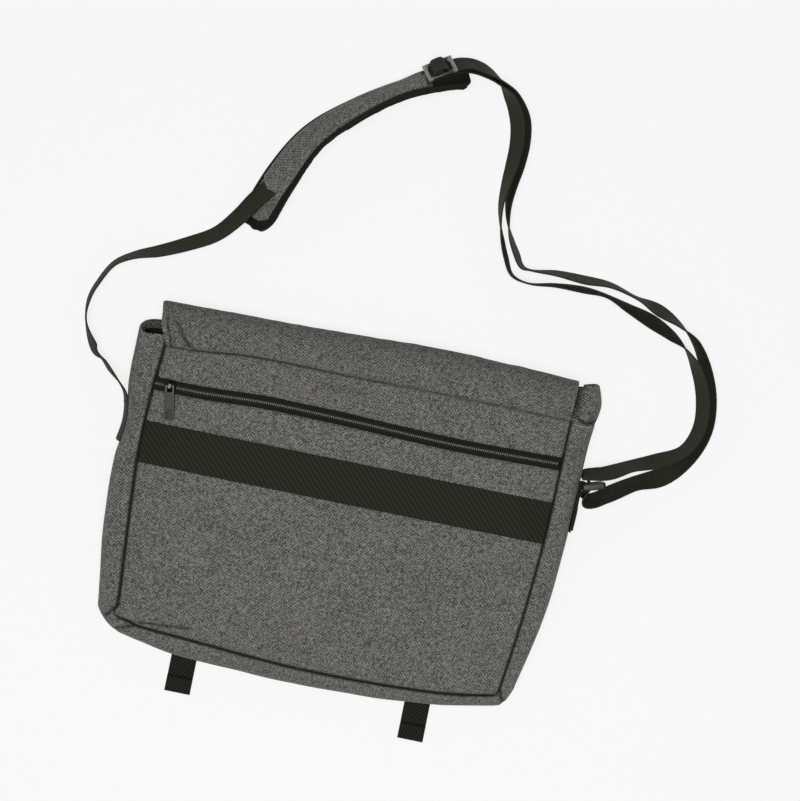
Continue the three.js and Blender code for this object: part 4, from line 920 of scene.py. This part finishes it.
def bearing(degrees):
    """Level direction at an angle from +X."""
    return np.array((math.cos(math.radians(degrees)), math.sin(math.radians(degrees)), 0))


def right_of(way):
    return unit(np.array((way[1], -way[0], 0)))


def tilted(way, tilt):
    """Width direction of a strap that runs along a way and stands up by a tilt."""
    return right_of(way) * math.cos(math.radians(tilt)) + UP * math.sin(math.radians(tilt))


def heading_at(route, i):
    return route[min(i + 1, len(route) - 1)][:2] - route[max(i - 1, 0)][:2]


def edge_height(width, thickness, tilt):
    """Height of a strap's middle when its lower edge is on the floor."""
    lean = math.radians(tilt)
    return width / 2 * math.sin(lean) + thickness / 2 * abs(math.cos(lean)) + STRAP["off_floor"]


pad_rows = []
for i, (x, y, tilt) in enumerate(PAD_ROUTE):
    z = edge_height(PAD["width"], PAD["thickness"], tilt)
    pad_rows.append((np.array((x, y, z)), tilted(heading_at(PAD_ROUTE, i), tilt)))
pad_line, pad_across, pad_above = strap_frames(pad_rows, PAD["steps"])


def on_pad(share):
    """Middle, width direction and face direction of the pad at shares of its length."""
    at = np.clip(share, 0, 1) * (len(pad_line) - 1)
    return [between(at, np.arange(len(pad_line)), values) for values in (pad_line, pad_across, pad_above)]


slider_way = bearing(SLIDER["heading"])
slider_width = tilted(slider_way, SLIDER["tilt"])
slider_face = np.cross(slider_width, slider_way)
ring_way = bearing(RING["turn"])


def on_slider(along, above):
    return np.array(SLIDER["place"]) + slider_way * along + slider_face * above, slider_width


def on_ring(x, y, lean=0):
    """Place and width direction of a strap in the ring's plane, leaning over by a number of degrees."""
    side, lean = np.cross(UP, ring_way), math.radians(lean)
    place = np.array(RING["place"]) + ring_way * x + side * y
    return place, UP * math.cos(lean) - side * math.sin(lean)


def strand(side, which):
    """Rows of one strand of the doubled length, to the left (-1) or right (1) of their middle line."""
    rows = []
    for i, (x, y, lift, gap, *tilts) in enumerate(STRANDS):
        way, tilt = heading_at(STRANDS, i), tilts[which]
        middle = np.array((x, y, lift + edge_height(STRAP["width"], STRAP["thickness"], tilt)))
        rows.append((middle + right_of(way) * side * gap / 2, tilted(way, tilt)))
    return rows


def sewn_place(y):
    """Middle of the strap where it is sewn on, close to the outermost cloth of the left gusset."""
    side = gusset_points[:GUSSET_ROWS["left"]].reshape(-1, 4)
    side = side[(np.abs(side[:, 1] - y) < 2) & (np.abs(side[:, 2] - LEFT_SEWN["z"]) < 8)]
    return np.array((side[:, 0].min() - LEFT_SEWN["off"], y, LEFT_SEWN["z"]))


lean = math.radians(LEFT_SEWN["lean"])
sewn_width = np.array((math.sin(lean), 0, math.cos(lean)))
sewn_face = np.array((-math.cos(lean), 0, math.sin(lean)))
strap_rows = [(sewn_place(y), sewn_width) for y in np.linspace(LEFT_SEWN["low"], LEFT_SEWN["high"], 3)]
for i, (x, y, lift, tilt) in enumerate(LEFT_ROUTE):
    z = lift + edge_height(STRAP["width"], STRAP["thickness"], tilt)
    strap_rows.append((np.array((x, y, z)), tilted(heading_at(LEFT_ROUTE, i), tilt)))
for share in np.linspace(SLEEVE["from"], SLEEVE["to"], 9):
    middle, across, above = on_pad(share)
    rise = PAD["thickness"] / 2 + SLEEVE["room"] + STRAP["thickness"] / 2
    strap_rows.append((middle + above * rise, across))
strap_rows += [on_slider(*place) for place in SLIDER_WEAVE]
strap_rows += strand(-1, OUTER)
strap_rows += [on_ring(*place) for place in OUTER_TURN]
strap_rows += [on_ring(*place) for place in reversed(INNER_TURN)]
strap_rows += list(reversed(strand(1, INNER)))
strap_rows += [on_slider(*place) for place in reversed(SLIDER_LOOP)]
shoulder_strap = strap("shoulder_strap_webbing", webbing, strap_rows, STRAP["width"], STRAP["thickness"], 6,
                       columns=32, ribs=8)
fit(shoulder_strap, "black_webbing", "strap_left", "strap_outer", "strap_inner")
for name, y in (("low", LEFT_SEWN["low"] + 3), ("high", LEFT_SEWN["high"] - 4)):
    up_strap = sewn_place(y) + sewn_width * np.linspace(-9, 9, 7)[:, None]
    up_strap = up_strap + sewn_face * (STRAP["thickness"] / 2 + 0.1)
    stitches(f"strap_left_tack_{name}", black_thread, up_strap, sewn_face, TACK["size"], TACK["pitch"],
             "black_webbing")
right_seam = gusset_points[::-1][:GUSSET_ROWS["right"], 0, 1]
ear_row = len(gusset_points) - 1 - int(np.argmin(np.abs(right_seam - EAR_STITCH["y"])))
ear_line = gusset_points[ear_row, slice(*EAR_STITCH["columns"]), :3] + np.array((0.2, 0, 0.4))
stitches("ear_stitches", grey_thread, ear_line, UP, EAR_STITCH["size"], EAR_STITCH["pitch"], "heather_cloth")

# Shoulder pad: foam in black cloth, bound all round, with a grey heather facing on its upper side and a
# sleeve of the same cloth over that, which the strap runs through from a slanted mouth.
PAD_FOAM = {"half_thickness": 3.0, "half_width": 18.6, "voxel": 2.4, "pressure": 4.0, "swell": 1.1}
FACING = {
    "low": -16.4, "high": 15.0, "taper": 3.6, "from": 0.03, "to": 0.775, "end_round": 15, "rise": 4.5,
    "thickness": 0.9}
SLEEVE_MOUTH = ((-16.4, 0.142), (8.5, 0.09), (15, 0.1))
SLEEVE_CLOTH = {"to": 0.757, "top": 8.0, "low": 5.4, "thickness": 1.1, "lift": 3.4, "lift_from": 0.66}
SLEEVE_SLACK = ((0.4, 26, 4.4),)
BINDING = {"radius": 1.9, "rise": 3.4, "inset": 0.8}

# Nylon oxford over foam, black and matt. The grain of its weave is drawn 1.2 mm wide, coarser than real,
# so that it shows.
pad_cloth, sockets = new_material("nylon_oxford", {
    "Base Color": linear("#1d1d17"), "Roughness": 0.8, "Specular IOR Level": 0.15})
pad_grain = add_node(pad_cloth, "ShaderNodeTexNoise", {
    "Vector": add_node(pad_cloth, "ShaderNodeTexCoord", {}).outputs["Object"],
    "Scale": 1000 / 1.2, "Detail": 2.0})
add_node(pad_cloth, "ShaderNodeBump", {
    "Height": pad_grain, "Strength": 0.4, "Distance": 0.3 * MM}, to=sockets["Normal"])
pad_length = length_along(pad_line)[-1]


def pad_half(share):
    """Half the pad's width at shares of its length, with both ends rounded."""
    in_round = np.clip(1 - np.minimum(share, 1 - share) * pad_length / PAD["end_round"], 0, 1)
    return PAD_FOAM["half_width"] * np.sqrt(1 - 0.97 * in_round ** 2)


def pad_point(share, w, rise):
    middle, across, above = on_pad(share)
    return middle + across * np.asarray(w)[..., None] + above * np.asarray(rise)[..., None]


bpy.ops.object.select_all(action="DESELECT")
bpy.ops.mesh.primitive_cube_add(size=2)
pad = bpy.context.object
pad.name = "shoulder_pad_foam"
pad.data.materials.append(pad_cloth)
bpy.ops.object.mode_set(mode="EDIT")
bpy.ops.mesh.subdivide(number_cuts=47)
bpy.ops.object.mode_set(mode="OBJECT")
block = points_of(pad) * MM
share = (block[:, 0] + 1) / 2
bulge = PAD_FOAM["half_thickness"] * np.sqrt(np.clip(1 - 0.6 * block[:, 1] ** 8, 0, 1))
move_points(pad, pad_point(share, block[:, 1] * pad_half(share), block[:, 2] * bulge))
apply_modifier(pad, "REMESH", voxel_size=PAD_FOAM["voxel"] * MM)
flat_foam = points_of(pad)
bpy.ops.object.modifier_add(type="CLOTH")
cover = pad.modifiers[-1]
cover.settings.use_pressure = True
cover.settings.uniform_pressure_force = PAD_FOAM["pressure"]
cover.settings.effector_weights.gravity = 0
for step in range(1, 21):
    bpy.context.scene.frame_set(step)
bpy.ops.object.modifier_apply(modifier=cover.name)
bpy.context.scene.frame_set(1)
swell = points_of(pad) - flat_foam
far = np.linalg.norm(swell, axis=1)[:, None]
move_points(pad, flat_foam + swell * np.minimum(1, PAD_FOAM["swell"] / np.maximum(far, 1e-6)))
apply_modifier(pad, "SMOOTH", iterations=5)
apply_modifier(pad, "SUBSURF", levels=1, render_levels=1)
bpy.ops.object.shade_smooth()
fit(pad, "pad_cloth", "shoulder_pad")


def bead(name, material, line, radius):
    """Round bead along a closed line of points in mm, whose last point is its first."""
    way = unit(np.gradient(np.concatenate([line[-2:-1], line, line[1:2]]), axis=0)[1:-1])
    beside = unit(np.cross(way, UP))
    above = np.cross(beside, way)

    def place(s, t):
        i = np.rint(t * (len(line) - 1)).astype(int)
        angle = 2 * np.pi * s
        return line[i] + radius * (beside[i] * np.cos(angle)[:, None] + above[i] * np.sin(angle)[:, None])
    piece = cloth_grid(name, material, 10, len(line) - 1, place)
    bpy.ops.object.mode_set(mode="EDIT")
    bpy.ops.mesh.select_all(action="SELECT")
    bpy.ops.mesh.remove_doubles(threshold=0.01 * MM)
    bpy.ops.mesh.normals_make_consistent(inside=False)
    bpy.ops.object.mode_set(mode="OBJECT")
    return piece


round_share = mix(0.012, 0.988, crowded(np.linspace(0, 1, 161), 0.8))
edges = [
    pad_point(round_share, side * (pad_half(round_share) - BINDING["inset"]), 0 * round_share + BINDING["rise"])
    for side in (-1, 1)]
bound_edge = np.concatenate([edges[0], edges[1][::-1], edges[0][:1]])
binding = bead("pad_binding", pad_cloth, bound_edge, BINDING["radius"])
fit(binding, "pad_cloth")


def facing_high(share):
    """Edge of the facing on the pad's upper side, which draws in towards the lower end."""
    return FACING["high"] - FACING["taper"] * bell(share, 0.2)


def facing_place(s, t):
    share = mix(FACING["from"], FACING["to"], crowded(t, 0.7))
    into_round = np.clip(1 - (share - FACING["from"]) * pad_length / FACING["end_round"], 0, 1)
    room = (pad_half(share) - 2.2) * np.sqrt(1 - 0.95 * into_round ** 2)
    w = mix(np.maximum(FACING["low"], -room), np.minimum(facing_high(share), room), s)
    return pad_point(share, w, FACING["rise"] - 0.5 * (w / 18) ** 4)


facing = cloth_grid("pad_facing_cloth", heather, 24, 130, facing_place)
thicken(facing, FACING["thickness"])
fit(facing, "heather_cloth")


def sleeve_place(s, t):
    high = facing_high(mix(SLEEVE["from"], SLEEVE_CLOTH["to"], t))
    w = mix(FACING["low"], high, s)
    mouth = np.interp(w, *zip(*SLEEVE_MOUTH))
    share = mix(mouth, SLEEVE_CLOTH["to"], t)
    arch = np.clip((np.minimum(w - FACING["low"], high - w)) / 6, 0, 1)
    lift_over = SLEEVE_CLOTH["to"] - SLEEVE_CLOTH["lift_from"]
    lift = np.clip((share - SLEEVE_CLOTH["lift_from"]) / lift_over, 0, 1)
    top = SLEEVE_CLOTH["top"] + SLEEVE_CLOTH["lift"] * lift * lift * (3 - 2 * lift)
    rise = mix(SLEEVE_CLOTH["low"], top, arch ** 0.7)
    return pad_point(share, w, rise + slackness(share * pad_length, w, SLEEVE_SLACK))


sleeve = cloth_grid("pad_sleeve_cloth", heather, 30, 120, sleeve_place)
thicken(sleeve, SLEEVE_CLOTH["thickness"], round_edge=0.3)
fit(sleeve, "heather_cloth", "pad_sleeve")

# Strap slider and ring: moulded plastic, the slider with three bars and the ring one rounded loop. The
# ring hangs in a webbing tab that is folded round its bar and sewn to the right gusset.
SLIDER_THICKNESS = 3.4
SLIDER_BARS = (
    # along, across, length, width of the three bars and the two rails that join them
    (-13, 0, 4, 25.6), (13, 0, 4, 25.6), (0, 0, 4, 24), (0, -11.4, 27, 2.8), (0, 11.4, 27, 2.8))
BAR_HIGHLIGHT = {"from": 9.5, "to": 12}
TAB = {"low": 20, "middle": 38.5, "high": 57, "folded_low": 22, "off": 0.5, "layer": 1.7}
TAB_TURN = ((-3.0, -3), (-3.0, 2.6), (-1.7, 4.7), (1.7, 4.7), (3.1, 2.6), (3.1, -3))

# Acetal of the strap slider, dark and glossy, with a painted highlight: its end bars are painted pale
highlit_acetal = acetal.copy()
highlit_acetal.name = "highlit_acetal"
slider_shader = highlit_acetal.node_tree.nodes["Principled BSDF"].inputs
slider_shader["Roughness"].default_value = 0.22
slider_shader["Specular IOR Level"].default_value = 0.5
from_middle = add_node(highlit_acetal, "ShaderNodeVectorMath", {
    0: add_node(highlit_acetal, "ShaderNodeTexCoord", {}).outputs["Object"],
    1: [v * MM for v in SLIDER["place"]]}, operation="SUBTRACT")
along_slider = add_node(highlit_acetal, "ShaderNodeVectorMath", {
    0: from_middle, 1: slider_way}, operation="DOT_PRODUCT")
end_bar = add_node(highlit_acetal, "ShaderNodeMath", {
    0: along_slider.outputs["Value"]}, operation="ABSOLUTE")
bar_highlight = add_node(highlit_acetal, "ShaderNodeMapRange", {
    "Value": end_bar, 1: BAR_HIGHLIGHT["from"] * MM, 2: BAR_HIGHLIGHT["to"] * MM})
bar_highlight_tone = add_node(highlit_acetal, "ShaderNodeValToRGB", {"Fac": bar_highlight}, to=slider_shader["Base Color"])
bar_highlight_tone.color_ramp.elements[0].color = linear("#3c3c37")
bar_highlight_tone.color_ramp.elements[1].color = linear("#84847b")


def barred(name, material, bars, thickness, rounding, place, axes):
    """Flat moulding of straight bars, set in place with its axes along, across and out of its face."""
    made = []
    for along, across, length, width in bars:
        bpy.ops.object.select_all(action="DESELECT")
        bpy.ops.mesh.primitive_cube_add(size=MM)
        bpy.ops.object.mode_set(mode="EDIT")
        bpy.ops.transform.resize(value=(length, width, thickness))
        bpy.ops.transform.translate(value=(along * MM, across * MM, 0))
        bpy.ops.mesh.bevel(offset=rounding * MM, segments=4, affect="EDGES")
        bpy.ops.object.mode_set(mode="OBJECT")
        made.append(bpy.context.object)
    for bar in made:
        bar.select_set(True)
    bpy.ops.object.join()
    piece = bpy.context.object
    piece.name = name
    piece.data.materials.append(material)
    turned = Matrix(np.stack(axes, axis=1).tolist()).to_4x4()
    piece.data.transform(Matrix.Translation(Vector(place) * MM) @ turned)
    bpy.ops.object.shade_smooth()
    return piece


slider = barred("strap_slider_bars", highlit_acetal, SLIDER_BARS, SLIDER_THICKNESS, 1.1, SLIDER["place"],
                (slider_way, -slider_width, slider_face))
fit(slider, "strap_plastic", "strap_slider")
bar_at, rail_at = (RING["width"] - RING["bar"]) / 2, (RING["height"] - RING["bar"]) / 2
RING_BARS = (
    (-bar_at, 0, RING["bar"], RING["height"]), (bar_at, 0, RING["bar"], RING["height"]),
    (0, -rail_at, RING["width"], RING["bar"]), (0, rail_at, RING["width"], RING["bar"]))
ring = barred("strap_ring_bars", acetal, RING_BARS, RING["depth"], 1.9, RING["place"],
              (ring_way, UP, np.cross(ring_way, UP)))
fit(ring, "strap_plastic", "strap_ring")


def on_gusset(y, off):
    """Place off the outermost line of the right gusset, at the ring's height."""
    return np.array((smooth(SIDES, RIGHT_OUT, y) + off, y, RING["place"][2])), UP


tab_rows = [on_gusset(y, TAB["off"]) for y in (TAB["low"], TAB["middle"], TAB["high"])]
tab_rows += [on_ring((RING["bar"] - RING["width"]) / 2 + x, y) for x, y in TAB_TURN]
tab_rows += [on_gusset(y, TAB["off"] + TAB["layer"]) for y in (TAB["high"], TAB["middle"], TAB["folded_low"])]
ring_tab = strap("ring_tab_webbing", webbing, tab_rows, STRAP["width"], STRAP["thickness"], 8, columns=16)
fit(ring_tab, "black_webbing", "ring_tab")

# Zip slider and pull: gunmetal plated castings. The pull hangs on the slider's arch by its loop.
PULL = {"bar": (-179, 81.124, 57.369), "tip_way": (0.1822, -0.9833, -0.0105), "half": 0.8}
GRIP = {"from": 24.4, "size": (0.9, 6.6, 0.5), "pitch": 1.7, "count": 4}
LOOP_HIGHLIGHT = {"from": 73.5, "to": 76.5}
CROWN_HIGHLIGHT = {"from": 59.5, "to": 60.0}

# Gunmetal plating over a zinc casting, dark and satin, with painted highlights: paler on the pull's loop,
# and bright on the crown of the slider's arch, below which the slider is darker
gunmetal, sockets = new_material("gunmetal_plating", {"Metallic": 1.0, "Roughness": 0.36})
metal_place = add_node(gunmetal, "ShaderNodeSeparateXYZ", {
    0: add_node(gunmetal, "ShaderNodeTexCoord", {}).outputs["Object"]})
loop_highlight = add_node(gunmetal, "ShaderNodeMapRange", {
    "Value": metal_place.outputs["Y"], 1: LOOP_HIGHLIGHT["from"] * MM, 2: LOOP_HIGHLIGHT["to"] * MM})
plating = add_node(gunmetal, "ShaderNodeValToRGB", {"Fac": loop_highlight}, to=sockets["Base Color"])
plating.color_ramp.elements[0].color = linear("#262623")
plating.color_ramp.elements[1].color = linear("#34342f")
slider_metal = gunmetal.copy()
slider_metal.name = "gunmetal_slider"
nodes = slider_metal.node_tree.nodes
add_node(slider_metal, "ShaderNodeMapRange", {
    "Value": nodes[metal_place.name].outputs["Z"], 1: CROWN_HIGHLIGHT["from"] * MM, 2: CROWN_HIGHLIGHT["to"] * MM},
    to=nodes[plating.name].inputs["Fac"])
crown_highlight_tone = nodes[plating.name].color_ramp
crown_highlight_tone.elements[0].color = linear("#0d0d0c")
crown_highlight_tone.elements[1].color = linear("#4c4c47")

finish_solid("zip_slider", slider_metal, 0.4)
finish_solid("zip_pull", gunmetal, 0.4)
grip_at = GRIP["from"] + np.array((0, 4, 8))[:, None]
grip_line = np.array(PULL["bar"]) + np.array(PULL["tip_way"]) * grip_at + UP * PULL["half"]
grip = row_of("zip_pull_grip", GRIP["size"], 0.15, GRIP["pitch"], GRIP["count"])
lay_along(grip, grip_line, UP)
grip.data.materials.append(gunmetal)
fit(grip, "zip_metal", body="pull")
